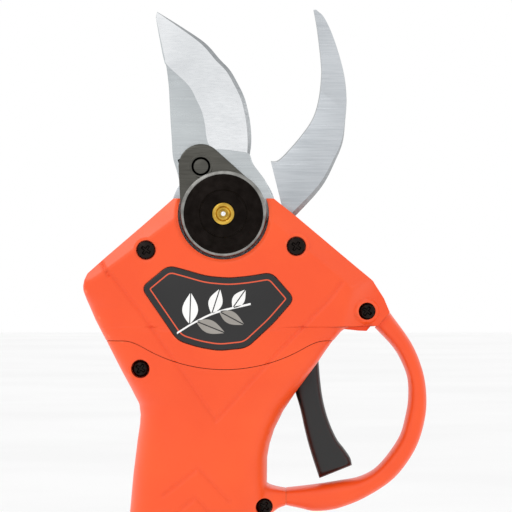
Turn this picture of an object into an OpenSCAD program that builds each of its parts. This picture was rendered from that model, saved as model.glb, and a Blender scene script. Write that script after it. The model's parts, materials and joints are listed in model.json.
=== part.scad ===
// Battery electric pruner: a motor-driven hook-and-blade shear for orchard and vineyard work.
// Millimetres. +Z is up, -Y is the front with the nameplate, +X is the side of the finger guard.
// The origin is the middle of the battery's flat base, on which the tool stands.

/* [Stance] */
// Height of the blade pivot above the battery's base
pivot_h = 221; // [220:0.5:224]
// How far the blade pivot stands forward of the middle of the base
pivot_x = 14; // [12:0.5:16]
// Lean of the handle and the drive from upright, in degrees
lean = 5.25; // [5:0.25:5.5]

/* [Body] */
// Half of the head's thickness, front to back
head_hy = 19; // [18.8:0.1:19.4]
// Wall of the moulded shells
wall = 2.4; // [2.2:0.1:2.6]
// Width of the chamfer round the head's edges
chamfer = 5; // [4:0.5:6]
// Radius of the cover's notch round the pivot disc
notch_r = 14.4; // [14.2:0.1:14.6]
// Radius of the round seam between head cover and handle
seam_r = 50.7; // [50:0.1:51.5]

/* [Blades] */
// Thickness of the moving blade
blade_t = 3.2; // [3:0.1:3.2]
// Thickness of the fixed hook blade
hook_t = 4; // [3.6:0.1:4]
// Radius of the pivot shaft
shaft_r = 6; // [5.6:0.1:6]
// How far the moving blade's cutting edge is ground down to
edge_t = 0.4; // [0.3:0.1:0.8]

/* [Drive] */
// Teeth on the crown gear's full circle
crown_n = 30; // [30]
// Teeth on the pinion
pinion_n = 8; // [8]
// Outer radius of the gearbox and motor
motor_r = 13.4; // [13:0.1:13.5]

/* [Trigger] */
// Width of the trigger, front to back
trigger_w = 11; // [9:0.5:11]
// Radius of the trigger's pin
trigger_pin_r = 2; // [1.6:0.1:2]

/* [Battery] */
// Width of the battery's base along X
base_w = 62; // [60:1:66]
// Depth of the battery's base along Y
base_d = 48; // [46:1:52]
// Radius of one cell
cell_r = 9.2; // [9:0.1:9.2]

/* [Hidden] */
$fn = 64;

// Colours
orange = "#ff6a2a";
black = "#1b1c1e";
steel = "#b9bcc0";
dark_steel = "#45474a";
brass = "#c9a24a";
alloy = "#8d9094";
board_green = "#1f5a37";
copper = "#b4683a";

// Places along Y at the pivot, front to back
cap_y = -20;
washer_y = -16.5;
carrier_y = -15.3;
blade_y = -8.5 - blade_t;
hook_y = -8.4;
frame_y = hook_y + hook_t;
frame_back = 13;
case_back = 15.6;
chamber_y = frame_y + 3.2;
drive_y = 2;

// The drive pin that turns the moving blade
pin_at = [-7.1, 15];
pin_r = 2.75;

// Gear sizes: pitch radius, and the places of the parts down the handle from the pivot
pinion_r = pinion_n / 2;
mesh_in = 13.2;
mesh_out = 17;
bearing_s = 20.2;
flange_s = 30;
gearbox_s = 33;
plate_s = 46.5;
can_s = 50.5;
can_end = 84;
planet_module = 0.55;
sun_r = 12 * planet_module / 2;
ring_r = 36 * planet_module / 2;
planet_orbit = 2 * sun_r;

// Down the handle from the pivot: its end, the battery's cells
handle_end = 140;
pack_top = 140.6;
cell_s = 152.5;
cell_len = 65;

// The trigger's pivot, from the blade pivot
trigger_at = [23.5, -34.5];

// Screws, each [x, z] from the blade pivot
head_screw_at = [[-24.4, -11.4], [23, -10.2]];
guard_screw_at = [[45.5, -30.8], [12.9, -92.9]];
handle_screw_at = [[-26.2, -48.9], [-26.4, -117], [5, -117]];

// The head's flat outline and the horn that holds the guard's upper end, from the blade pivot
head_outline = [[-16, 4.9], [-42.6, -18], [-44.6, -21.5], [-44.4, -25], [-37.8, -39.1], [-34, -47],
    [-22, -56], [14, -56], [27, -50], [34.6, -40.6], [39.5, -34], [46.6, -20.3], [22.8, -0.5],
    [17.6, 3.9]];
horn_root = [[36, -14], [34, -30], [38.8, -35.4]];
horn_end = [[41, -35.4], [48.4, -36.3], [53, -31.2], [51, -26.2], [46.8, -20.6]];

// The handle's sections from the bottom up: [height, left, right, half thickness]
handle_sections = [[-146, -34.9, 9.2, 21.2], [-125, -32.7, 11, 20], [-110, -31.3, 12.3, 19],
    [-95, -30, 13.4, 18.6], [-88, -29.3, 13.8, 18.6], [-80, -28.5, 14, 18.6],
    [-72, -27.4, 15.2, 18.6], [-64, -26.6, 18.4, 18.8], [-58, -28.2, 22.2, 18.9],
    [-50, -32.3, 27.8, 19], [-42, -36.4, 33.5, 19], [-36, -39.4, 37, 19]];

// The guard's centre line: two curves with four control points each, and its width at their ends
guard_upper = [[50.7, -33.8], [57.5, -40.4], [61.9, -47.5], [61.9, -57.5]];
guard_lower = [[61.9, -57.5], [61.9, -78.5], [45, -92.4], [20, -90.4]];
guard_steps = 12;

// The moving blade from heel to tip: cutting edge, and the line where its grind starts
blade_edge = [[8.4, 19.7], [8.8, 23.5], [8.6, 28], [7.8, 32.7], [6.5, 37.4], [4.3, 41.9],
    [2, 45.8], [-1.2, 49.2], [-5.8, 54.3], [-12.9, 59.2], [-21.1, 64.3]];
blade_grind = [[3, 18.4], [-3, 21], [-5.5, 24.5], [-6, 28], [-7, 32], [-8.6, 35.6], [-11.4, 40.7],
    [-17.9, 47], [-19.1, 50.5], [-20.2, 56], [-21.5, 62.6]];
grind_height = [1, 1, 1, 1, 1, 1, 1, 1, 0.9, 0.7, 0.35];
blade_back = [[-18.1, 47.1], [-17.2, 38.2], [-16.4, 23.8], [-16.4, 17.7], [-14, 10.5],
    [-13.1, 6.3], [-10, 0], [12, -2], [16.6, 3], [13.2, 10.8], [9.2, 16], [8.4, 19.7]];

// The hook blade: inner edge from the pivot to the tip, then the outer edge back into the body
hook_outline = [[10, 13], [13.5, 16.6], [17.3, 17.2], [20.4, 20.1], [24.7, 25.1], [28.3, 30.5],
    [30.2, 36.7], [31, 44.1], [30.8, 49.1], [30, 56.4], [29.4, 60.6], [28.6, 64.9], [30.2, 64.1],
    [32.1, 62.8], [35.2, 55.5], [38.1, 45.5], [39.1, 37.2], [38.5, 27.9], [37.9, 23.1],
    [35.6, 17.1], [31.1, 8.6], [22.9, -0.5], [15, -7]];

// The trigger: front edge from the pivot down, round the toe, and the back edge up again
trigger_outline = [[27.6, -38], [29.6, -42], [30.2, -46.6], [30.7, -52.6], [31.6, -59.1],
    [33.3, -65.5], [35.9, -71.5], [38.4, -74.9], [40.2, -77.3], [40.8, -80.2], [39.3, -82.3],
    [31.1, -84.9], [30.3, -84.2], [27.7, -76.2], [25.6, -68.1], [24.3, -62.1], [23.2, -56.9],
    [21.2, -50], [20.4, -44], [19.6, -37]];

plate_outline = [[-17.3, -16.3], [-12.1, -17.7], [-5.2, -19.7], [1.8, -20.3], [8.1, -19.7],
    [15.2, -18.5], [22.4, -26.8], [15.6, -34.6], [7.4, -42.2], [-1.4, -43.1], [-7.8, -42],
    [-14.4, -39.9], [-25.8, -23.3]];

// Frames: everything at the blade pivot, and along the leaning axis of the handle
module at_pivot() {
    translate([pivot_x, 0, pivot_h]) children();
}

module in_handle() {
    at_pivot() rotate([0, lean, 0]) children();
}

module on_drive() {
    in_handle() translate([0, drive_y, 0]) children();
}

// A flat outline in X and Z, given thickness from y0 to y1
module slab(y0, y1) {
    translate([0, y1, 0]) rotate([90, 0, 0]) linear_extrude(y1 - y0) children();
}

// A round bar along Y, and one down the handle from s0 to s1
module bar_y(r, y0, y1) {
    translate([0, y0, 0]) rotate([-90, 0, 0]) cylinder(r = r, h = y1 - y0);
}

module bar_s(r, s0, s1) {
    translate([0, 0, -s1]) cylinder(r = r, h = s1 - s0);
}

module ring_y(r, bore, y0, y1) {
    difference() {
        bar_y(r, y0, y1);
        bar_y(bore, y0 - 1, y1 + 1);
    }
}

module ring_s(r, bore, s0, s1) {
    difference() {
        bar_s(r, s0, s1);
        bar_s(bore, s0 - 1, s1 + 1);
    }
}

// A block down the handle: x width, y from and to, s from and to
module block_s(w, y0, y1, s0, s1, x = 0) {
    translate([x - w / 2, y0, -s1]) cube([w, y1 - y0, s1 - s0]);
}

module rounded(w, d, r) {
    offset(r) square([w - 2 * r, d - 2 * r], center = true);
}

// A closed skin over rings of points, bottom ring first, each ring counter-clockwise from above
module skin(rings) {
    n = len(rings[0]);
    last = (len(rings) - 1) * n;
    sides = [for (i = [0:n:last - n], j = [0:n - 1]) let (k = (j + 1) % n)
        each [[i + j, i + n + j, i + n + k], [i + j, i + n + k, i + k]]];
    ends = [[for (j = [0:n - 1]) j], [for (j = [n - 1:-1:0]) last + j]];
    polyhedron(points = [for (ring = rings) each ring], faces = concat(sides, ends));
}

function bezier(p, t) = pow(1 - t, 3) * p[0] + 3 * t * pow(1 - t, 2) * p[1]
    + 3 * t * t * (1 - t) * p[2] + pow(t, 3) * p[3];

// A point on a superellipse, which is a rounded rectangle with softly curved sides
function soft(a, power) = [sign(cos(a)) * pow(abs(cos(a)), power),
    sign(sin(a)) * pow(abs(sin(a)), power)];

// A gear outline from each tooth's radius and half width at root, pitch and tip
function gear(n, tooth, turn = 0) = [for (i = [0:n - 1], p = concat(
    [for (k = [0:2]) [tooth[k][0], -tooth[k][1]]], [for (k = [2:-1:0]) tooth[k]]))
    let (a = i * 360 / n + turn) [p[0] * cos(a) - p[1] * sin(a), p[0] * sin(a) + p[1] * cos(a)]];

// A coil spring of round wire, as a tube round a helix up the Z axis
module coil(r, wire, length, turns) {
    steps = turns * 12;
    skin([for (i = [0:steps]) let (a = i * 30, z = wire + (length - 2 * wire) * i / steps)
        [for (b = [0:60:300]) [(r + wire * cos(b)) * cos(a), (r + wire * cos(b)) * sin(a),
            z - wire * sin(b)]]]);
}

// A pan head screw along Y: head behind the front face at y0, shank to y1, cross recess
module screw_y(at, y0, y1, head_r = 2.8, shank_r = 1.5) {
    translate([at[0], 0, at[1]]) difference() {
        union() {
            bar_y(head_r, y0, y0 + 2.2);
            bar_y(shank_r, y0 + 2.1, y1);
        }
        for (turn = [0, 90])
            rotate([0, turn, 0]) translate([-1.7, y0 - 1, -0.4]) cube([3.4, 2.2, 0.8]);
    }
}

// ---- Moulded body ----

// Everything above the seam between the head covers and the handle shells
module above_seam() {
    translate([-80, -40.1]) square([160, 80]);
    translate([0.3, 1.6]) circle(seam_r, $fn = 96);
}

// The head as a chamfered slab; inset makes the hollow inside
module head_block(inset) {
    hull() {
        slab(-head_hy + chamfer, head_hy - chamfer) offset(delta = -inset) polygon(head_outline);
        slab(-head_hy + inset, head_hy - inset)
            offset(delta = -chamfer - inset * 0.4) polygon(head_outline);
    }
}

module horn_block(inset) {
    hull() {
        slab(-15 + inset, 15 - inset) offset(delta = -inset) polygon(horn_root);
        slab(-8.6 + inset, 8.6 - inset) offset(delta = -inset) polygon(horn_end);
    }
}

module handle_block(inset) {
    skin([for (s = handle_sections) [for (i = [0:27]) let (p = soft(i * 360 / 28, 0.62))
        [(s[1] + s[2]) / 2 + ((s[2] - s[1]) / 2 - inset) * p[0], (s[3] - inset) * p[1], s[0]]]]);
}

// The lug that takes the guard's lower end, and the tongue's pocket in it
module lug_block() {
    hull() {
        slab(-7.6, 7.6) polygon([[8, -84], [19.8, -87.6], [19.8, -93], [8, -102]]);
        slab(-9, 9) polygon([[8, -86], [14, -88], [14, -95], [8, -100]]);
    }
}

// The gear case's outline, grown for the room it needs
module case_outline(grow = 0) {
    circle(15.4 + grow);
    difference() {
        circle(20.2 + grow);
        translate([-30, -1.2 + grow]) square([60, 60]);
    }
}

// The opening that the trigger moves in
module trigger_slot() {
    translate([12, -6.2, -64]) cube([30, 12.4, 24.5]);
}

// Screw posts of one shell: from the outer face at side * far to near the middle
module post(at, side, far, near, r = 4) {
    translate([at[0], 0, at[1]]) bar_y(r, side < 0 ? -far : near, side < 0 ? -near : far);
}

module screw_hole(at, side, far, sink) {
    translate([at[0], 0, at[1]]) {
        bar_y(1.6, side < 0 ? -far - 5 : -1, side < 0 ? 1 : 12.5);
        if (side < 0)
            bar_y(3.1, -far - 5, -far + sink);
    }
}

// One head cover; side is -1 for the front and 1 for the rear
module head_cover(side) {
    at_pivot() difference() {
        intersection() {
            union() {
                difference() {
                    head_block(0);
                    head_block(wall);
                }
                difference() {
                    horn_block(0);
                    horn_block(wall);
                    head_block(0.5);
                }
                for (at = head_screw_at)
                    post(at, side, head_hy - 1, 3.2);
                post(guard_screw_at[0], side, 9, 3.3, 3.4);
                translate([trigger_at[0], 0, trigger_at[1]])
                    bar_y(4, side < 0 ? -head_hy + 1 : 6.6, side < 0 ? -6.6 : head_hy - 1);
            }
            slab(side < 0 ? -30 : 0, side < 0 ? 0 : 30) above_seam();
        }
        // the notch round the pivot disc, the carrier's and the blade's room, the gear case
        bar_y(notch_r, -30, -12);
        bar_y(notch_r + 1.2, carrier_y - 0.5, -12);
        bar_y(18.9, blade_y - 0.4, hook_y + 0.2);
        slab(-12, 17) case_outline(0.4);
        // the hook blade's way out on the right shoulder
        slab(hook_y - 0.5, frame_y + 0.5) offset(0.5) polygon(hook_outline);
        bar_y(17.3, hook_y - 0.5, frame_y + 0.5);
        upper_tongue(0.3);
        // the way from the head's hollow into the horn
        translate([34, -5.5, -33]) cube([8, 11, 10]);
        for (at = head_screw_at)
            screw_hole(at, side, head_hy, 2.6);
        screw_hole(guard_screw_at[0], side, 9.2, 0.9);
        translate([trigger_at[0], 0, trigger_at[1]]) bar_y(trigger_pin_r + 0.05, -15, 15);
        trigger_slot();
        if (side < 0)
            slab(-30, -head_hy + 1.2) offset(0.2) plate_face();
    }
}

module handle_shell(side) {
    at_pivot() difference() {
        union() {
            intersection() {
                difference() {
                    union() {
                        handle_block(0);
                        lug_block();
                    }
                    handle_block(wall);
                }
                slab(side < 0 ? -30 : 0, side < 0 ? 0 : 30)
                    translate([-60, -150]) square([120, 130]);
            }
            intersection() {
                for (at = handle_screw_at)
                    post(at, side, 17, 0.02, 3.6);
                handle_block(0.5);
            }
        }
        slab(-40, 40) above_seam();
        rotate([0, lean, 0]) translate([-60, -40, -handle_end - 40]) cube([120, 80, 40]);
        for (at = handle_screw_at)
            screw_hole(at, side, 18.8, 6);
        screw_hole(guard_screw_at[1], side, 8.8, 2.6);
        // the pocket for the guard's lower tongue
        translate([8.6, -4.3, -94.3]) cube([13, 8.6, 6.8]);
        trigger_slot();
        if (side < 0) {
            rotate([0, lean, 0]) translate([0, 0, -112]) bar_y(5.9, -30, -10);
            rotate([0, lean, 0]) translate([0, 0, -125]) bar_y(1.6, -30, -10);
        }
    }
}

module front_head_cover() color(orange) head_cover(-1);
module rear_head_cover() color(orange) head_cover(1);
module handle_front_shell() color(orange) handle_shell(-1);
module handle_rear_shell() color(orange) handle_shell(1);

// One ring of the guard at c: an ellipse across the centre line, which runs from p to q there
function guard_ring(p, c, q, w) = let (t = (q - p) / norm(q - p))
    [for (a = [0:20:340]) [c[0] - t[1] * w * cos(a), -7.4 * sin(a), c[1] + t[0] * w * cos(a)]];

module guard_bow() {
    path = concat([for (i = [0:guard_steps]) bezier(guard_upper, i / guard_steps)],
        [for (i = [1:guard_steps]) bezier(guard_lower, i / guard_steps)]);
    last = len(path) - 1;
    color(orange) at_pivot() difference() {
        union() {
            skin([for (i = [0:last]) guard_ring(path[max(i - 1, 0)], path[i], path[min(i + 1, last)],
                3 + 1.1 * pow(sin(180 * max(0, i - 12) / 13), 2) + 0.3 * (1 - i / last))]);
            // tongues that the covers and the lug close round
            upper_tongue();
            translate([9.4, -4, -92.9]) cube([12, 8, 4.6]);
        }
        for (at = guard_screw_at)
            translate([at[0], 0, at[1]]) bar_y(1.65, -20, 20);
    }
}

// The guard's upper tongue, grown for the pocket that takes it
module upper_tongue(grow = 0) {
    translate([50.6, 0, -33.9]) rotate([0, -59, 0]) translate([-2.4 - grow, -3 - grow, -1 - grow])
        cube([4.8 + 2 * grow, 6 + 2 * grow, 9.5 + 2 * grow]);
}

module plate_face() {
    offset(1.4) offset(delta = -1.4) polygon(plate_outline);
}

module nameplate() {
    color(black) at_pivot() slab(-head_hy + 0.05, -head_hy + 1.15) plate_face();
}

module head_screws() {
    color(black) at_pivot() for (at = head_screw_at)
        screw_y(at, -head_hy + 0.3, 11.5);
}

module handle_screws() {
    color(black) at_pivot() for (at = handle_screw_at)
        screw_y(at, -15, 11.5, 2.6);
}

module guard_screws() {
    color(black) at_pivot() {
        screw_y(guard_screw_at[0], -10.6, 8, 2.6);
        screw_y(guard_screw_at[1], -8.6, 8, 2.5);
    }
}

// ---- Hook blade and gear case ----

module fixed_blade() {
    color(steel) at_pivot() difference() {
        union() {
            slab(hook_y, frame_y) polygon(hook_outline);
            bar_y(16.8, hook_y, frame_y);
        }
        bar_y(8.05, -30, 30);
        for (turn = screw_turns)
            rotate([0, turn, 0]) translate([12.2, hook_y, 0]) {
                rotate([-90, 0, 0]) cylinder(r1 = 3.75, r2 = 2.05, h = 2.1);
                bar_y(2.05, -1, hook_t + 1);
            }
    }
}

screw_turns = [10, 150, 270];

module fixed_blade_screws() {
    color(dark_steel) at_pivot() for (turn = screw_turns)
        rotate([0, turn, 0]) translate([12.2, hook_y, 0]) difference() {
            union() {
                translate([0, 0.05, 0]) rotate([-90, 0, 0]) cylinder(r1 = 3.65, r2 = 1.95, h = 2);
                bar_y(1.95, 1, hook_t + 2.9);
            }
            translate([0, -1, 0]) rotate([-90, 0, 0]) cylinder(r = 1.2, h = 2.2, $fn = 6);
        }
}

module blade_bush() {
    color(brass) at_pivot() ring_y(8, shaft_r + 0.05, hook_y, frame_y);
}

module head_frame() {
    color(alloy) at_pivot() difference() {
        union() {
            slab(frame_y, frame_back) case_outline();
            rotate([0, lean, 0]) translate([0, drive_y, 0]) {
                bar_s(10, 17.4, flange_s + 1);
                bar_s(motor_r, flange_s, gearbox_s);
            }
            // ears that the head screws pass through
            for (at = head_screw_at) {
                translate([at[0], 0, at[1]]) bar_y(4.4, -3, 3);
                translate([at[0] < 0 ? at[0] : 14, -3, at[1] - 4]) cube([9, 6, 8]);
            }
        }
        // the chamber for the crown gear
        slab(chamber_y, 30) union() {
            circle(10.6);
            difference() {
                circle(18.3);
                translate([-30, -3.2]) square([60, 60]);
            }
        }
        bar_y(8.5, -30, 0);
        rotate([0, lean, 0]) translate([0, drive_y, 0]) {
            bar_s(5.4, 12, bearing_s + 1);
            bar_s(7.2, bearing_s, 40);
        }
        for (at = head_screw_at)
            translate([at[0], 0, at[1]]) bar_y(1.7, -10, 10);
        for (turn = screw_turns)
            rotate([0, turn, 0]) translate([12.2, 0, 0]) bar_y(2, -10, 0);
    }
}

module gear_case_cover() {
    color(alloy) at_pivot() difference() {
        slab(frame_back, case_back) case_outline(-0.2);
        bar_y(8.5, 0, 30);
    }
}

module shaft_bushes() {
    color(brass) at_pivot() {
        ring_y(8.45, shaft_r + 0.05, frame_y, chamber_y);
        ring_y(8.45, shaft_r + 0.05, frame_back, case_back);
    }
}

module pinion_bearing() {
    color(steel) on_drive() difference() {
        bar_s(7.15, bearing_s, bearing_s + 5);
        bar_s(3.05, 0, 60);
        // shields set back from both faces
        for (s = [bearing_s - 1, bearing_s + 4.5])
            ring_s(5.9, 4.2, s, s + 1.5);
    }
}

// ---- Moving blade, clamped round its shaft ----

module moving_blade() {
    color(steel) at_pivot() difference() {
        union() {
            slab(blade_y, blade_y + blade_t) union() {
                polygon(concat([for (i = [0:7]) blade_grind[i]], blade_back));
                circle(13.2);
            }
            skin([for (i = [0:len(blade_edge) - 1])
                let (e = blade_edge[i], g = blade_grind[i], back = blade_y + blade_t)
                [[g[0], back, g[1]], [g[0], back - blade_t * grind_height[i], g[1]],
                    [e[0], back - edge_t, e[1]], [e[0], back, e[1]]]]);
        }
        bar_y(shaft_r + 0.05, -30, 30);
        translate([pin_at[0], 0, pin_at[1]]) bar_y(pin_r + 0.05, -30, 30);
    }
}

module blade_carrier() {
    color(dark_steel) at_pivot() difference() {
        hull() {
            bar_y(13.5, carrier_y, blade_y);
            translate([pin_at[0], 0, pin_at[1]]) bar_y(7.1, carrier_y, blade_y);
        }
        bar_y(shaft_r + 0.05, -30, 30);
        translate([pin_at[0], 0, pin_at[1]]) bar_y(pin_r + 0.05, -30, 30);
    }
}

module drive_pin() {
    color(dark_steel) at_pivot() translate([pin_at[0], 0, pin_at[1]])
        bar_y(pin_r, carrier_y + 0.3, blade_y + blade_t);
}

module pivot_shaft() {
    color(dark_steel) at_pivot() difference() {
        union() {
            bar_y(4.4, cap_y + 1.6, washer_y + 0.1);
            bar_y(shaft_r, washer_y, case_back + 0.4);
        }
        // the grease way from the nipple to the bushes
        bar_y(1.2, -30, 5);
        translate([0, -6.4, -10]) cylinder(r = 1, h = 9);
    }
}

module pivot_cap() {
    color(black) at_pivot() rotate([90, 0, 0]) rotate_extrude()
        polygon([[4.45, -washer_y], [12.6, -washer_y], [12.6, -washer_y + 0.6], [7.9, -cap_y],
            [7.4, -cap_y], [7.4, -cap_y - 0.7], [4.45, -cap_y - 0.7]]);
}

module rim_washer() {
    color(steel) at_pivot() ring_y(13.7, shaft_r + 0.05, washer_y, carrier_y);
}

module grease_nipple() {
    color(brass) at_pivot() rotate([90, 0, 0]) rotate_extrude()
        polygon([[1.25, -cap_y - 1.5], [3.5, -cap_y - 1.5], [3.5, -cap_y + 0.6],
            [2.9, -cap_y + 1.1], [1.25, -cap_y + 1.1]]);
}

module nipple_ball() {
    color(steel) at_pivot() translate([0, cap_y + 0.1, 0]) sphere(1.15);
}

// The crown gear: a hub and a sector whose teeth face the front and mesh with the pinion
module crown_gear() {
    pitch_y = drive_y + pinion_r;
    color(steel) in_handle() difference() {
        union() {
            bar_y(8.4, chamber_y + 0.15, frame_back - 0.15);
            intersection() {
                bar_y(mesh_out + 0.2, pitch_y + 1.1, pitch_y + 4.6);
                slab(0, 20) polygon(concat([[0, 3]],
                    [for (a = [-15, 10, 37, 63]) 40 * [sin(a), -cos(a)]]));
            }
            for (i = [-1:5])
                rotate([0, -i * 360 / crown_n, 0]) translate([0, pitch_y, -mesh_out])
                    linear_extrude(mesh_out - mesh_in) polygon([[-0.95, 1.3], [-0.55, 0],
                        [-0.32, -0.85], [0.32, -0.85], [0.55, 0], [0.95, 1.3]]);
        }
        bar_y(shaft_r + 0.02, -30, 30);
    }
}

// ---- Pinion, planet gears and motor ----

module bevel_pinion() {
    color(steel) on_drive() {
        translate([0, 0, -mesh_out]) linear_extrude(mesh_out - mesh_in)
            polygon(gear(pinion_n, [[2.85, 0.9], [4, 0.58], [4.9, 0.28]], 90 + 180 / pinion_n));
        bar_s(3, mesh_out - 0.2, 37);
    }
}

module planet_carrier() {
    color(dark_steel) on_drive() {
        ring_s(8.8, 3.02, 34, 36.8);
        for (turn = [0, 120, 240])
            rotate([0, 0, turn]) translate([planet_orbit, 0, 0]) bar_s(1.2, 36.7, 43.4);
    }
}

planet_tooth = [[sun_r - 0.65, 0.5], [sun_r, 0.33], [sun_r + 0.5, 0.14]];

module planet(turn) {
    color(steel) on_drive() rotate([0, 0, turn]) translate([planet_orbit, 0, -43.2]) difference() {
        linear_extrude(6) polygon(gear(12, planet_tooth, 15));
        translate([0, 0, -1]) cylinder(r = 1.27, h = 8);
    }
}

module planet_gear_1() planet(0);
module planet_gear_2() planet(120);
module planet_gear_3() planet(240);

module sun_gear() {
    color(brass) on_drive() translate([0, 0, -44.2]) difference() {
        linear_extrude(6.8) polygon(gear(12, planet_tooth));
        translate([0, 0, -1]) cylinder(r = 1.6, h = 9);
    }
}

module gearbox_housing() {
    color(dark_steel) on_drive() {
        difference() {
            bar_s(motor_r, gearbox_s, plate_s);
            bar_s(9.2, gearbox_s - 1, 37.3);
            translate([0, 0, -44.4]) linear_extrude(7.2) polygon(gear(36,
                [[ring_r - 0.5, 0.65], [ring_r, 0.53], [ring_r + 0.65, 0.4]], 5));
            bar_s(11, 44.3, plate_s + 1);
        }
        // the seat for the trigger's spring
        block_s(3.2, -5.5, 1.5, 42, 46.5, motor_r + 1.2);
    }
}

module rotor() {
    color(dark_steel) on_drive() {
        bar_s(1.58, 37.6, 88);
        bar_s(7.2, 56, 78);
    }
}

module motor_front_plate() {
    color(alloy) on_drive() ring_s(motor_r, 4.05, plate_s, can_s);
}

module motor_can() {
    color(dark_steel) on_drive() difference() {
        bar_s(motor_r, can_s, can_end + 3);
        bar_s(motor_r - 1.1, can_s - 1, can_end);
        bar_s(4.05, 0, 100);
        for (turn = [0:60:300])
            rotate([0, 0, turn]) translate([8.4, 0, 0]) bar_s(1.6, 80, 90);
    }
}

module stator() {
    color("#6b6f74") on_drive() difference() {
        bar_s(motor_r - 1.15, 55, 79);
        bar_s(7.7, 50, 90);
        for (turn = [30:60:330])
            rotate([0, 0, turn]) block_s(2.2, 0, 10.6, 50, 90);
    }
}

module windings() {
    color(copper) on_drive() for (s = [51.6, 79.1])
        ring_s(11.6, 8.1, s, s + 3.3);
}

module motor_bearings() {
    color(steel) on_drive() {
        ring_s(4, 1.62, plate_s + 0.4, plate_s + 3.6);
        ring_s(4, 1.62, can_end + 0.1, can_end + 2.9);
    }
}

// ---- Electronics ----

module control_board() {
    color(board_green) in_handle() block_s(24, 10, 11.6, 92, 121);
}

module power_transistors() {
    color(black) in_handle() for (i = [0:2], x = [1.4, 7.8])
        block_s(5.4, 7.6, 9.95, 95 + i * 8.6, 101 + i * 8.6, x + 1.2);
}

module capacitors() {
    color("#2b3f6b") in_handle() for (s = [94, 107])
        translate([-6, 4.9, 0]) bar_s(5, s, s + 11.5);
}

module hall_sensor() {
    color(board_green) at_pivot() {
        translate([10.4, -4.5, -67]) cube([1.2, 9, 12]);
        translate([11.6, -1.6, -60]) cube([1.2, 3.2, 3]);
    }
}

module power_switch() {
    color(black) in_handle() {
        block_s(12, -13.8, -8.6, 106, 118);
        block_s(16, -8.6, -7.2, 104, 120);
    }
}

module status_light() {
    color("#d8f2d0") in_handle() translate([0, 0, -125]) bar_y(1.5, -19.9, -14);
}

module contact_block() {
    color(black) in_handle() block_s(30, -8, 8, 124, 129);
}

module handle_terminals() {
    color(brass) in_handle() for (x = [-10, 0, 10])
        block_s(0.8, -2.5, 2.5, 129, 138.5, x);
}

module phase_wires() {
    color("#c8362e") on_drive() for (x = [-5, 0, 5])
        translate([x, 6, 0]) bar_s(0.9, 87.2, 91.6);
}

// ---- Trigger and power button ----

module trigger() {
    color(black) at_pivot() difference() {
        union() {
            slab(-trigger_w / 2, trigger_w / 2) polygon(trigger_outline);
            translate([trigger_at[0], 0, trigger_at[1]]) bar_y(5, -trigger_w / 2, trigger_w / 2);
        }
        translate([trigger_at[0], 0, trigger_at[1]]) bar_y(trigger_pin_r + 0.06, -30, 30);
        // seat of the spring
        translate([10, 0, -47.4]) rotate([0, 90, 0]) cylinder(r = 2.9, h = 12.2);
    }
}

module trigger_pin() {
    color(steel) at_pivot() translate([trigger_at[0], 0, trigger_at[1]])
        bar_y(trigger_pin_r, -14.5, 14.5);
}

module trigger_spring() {
    color(steel) at_pivot() translate([11.6, 0, -47.4]) rotate([0, 90, 0]) coil(2, 0.3, 10.4, 6);
}

module power_button() {
    color("#c52f22") in_handle() translate([0, 0, -112]) {
        bar_y(5.5, -20.4, -16.1);
        bar_y(6.9, -16.2, -15.2);
    }
}

// ---- Battery ----

// The pack's outside, from its top under the handle to the base, grown or shrunk by inset
module pack_block(inset, top_s, floor_z) {
    hull() {
        in_handle() translate([0, 0, -top_s - 8]) linear_extrude(8)
            rounded(44 - 2 * inset, 42 - 2 * inset, 9 - inset, $fn = 32);
        translate([0, 0, floor_z]) linear_extrude(14)
            rounded(base_w - 2 * inset, base_d - 2 * inset, 9 - inset, $fn = 32);
    }
}

module pack_shell() {
    difference() {
        pack_block(0, pack_top, 0);
        pack_block(2, pack_top + 2.2, 2.4);
    }
}

split_z = 14;

module battery_case() {
    color(black) difference() {
        union() {
            intersection() {
                pack_shell();
                translate([-60, -40, split_z]) cube([120, 80, 120]);
            }
            in_handle() {
                block_s(32, -11.5, 11.5, 131, pack_top + 1);
                // the rib behind the latch's spring
                block_s(12, -12.6, -11.2, pack_top + 1, 149.4);
            }
        }
        in_handle() {
            for (x = [-10, 0, 10])
                block_s(3, -3.4, 3.4, 130, 144, x);
            // the latch's window and the way of its arm
            block_s(16.8, -30, -14.8, 142.9, 149.7);
            block_s(9, -19.2, -12.8, 130, 144.1);
        }
    }
}

module battery_base() {
    color(black) difference() {
        intersection() {
            pack_shell();
            translate([-60, -40, -1]) cube([120, 80, split_z + 1]);
        }
        for (x = [-1, 1], y = [-1, 1])
            translate([x * 26.2, y * 18.2, -1]) cylinder(r = 2.2, h = 2.4);
        for (x = [-1, 1], y = [-1, 1])
            translate([x * 26.2, y * 18.2, -1]) cylinder(r = 1.1, h = 9);
    }
}

module battery_screws() {
    color(steel) for (x = [-1, 1], y = [-1, 1])
        translate([x * 26.2, y * 18.2, 0.3]) {
            cylinder(r = 2.1, h = 1.05);
            cylinder(r = 1.05, h = 7);
        }
}

module battery_cells() {
    color("#2f6fb0") in_handle() for (x = [-1, 1], y = [-1, 1])
        translate([x * 9.4, y * 9.4, 0]) bar_s(cell_r, cell_s, cell_s + cell_len);
}

module cell_holder() {
    color("#e8e4da") in_handle() difference() {
        translate([0, 0, -152.45]) linear_extrude(1.55) rounded(37, 36.8, 8, $fn = 32);
        for (x = [-1, 1], y = [-1, 1])
            translate([x * 9.4, y * 9.4, 0]) bar_s(6, 140, 160);
    }
}

module battery_board() {
    color(board_green) in_handle() block_s(26, -9.5, 17, 147, 148.6);
}

module battery_terminals() {
    color(brass) in_handle() for (x = [-10, 0, 10], side = [-1, 1])
        block_s(0.4, -3, 3, 133, 146.95, x + side * 0.8);
}

module battery_latch() {
    color("#3a3c40") in_handle() {
        block_s(16, -23, -15.8, 143.2, 149.4);
        block_s(8, -16.4, -15, 133.5, 143.9);
    }
}

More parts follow.
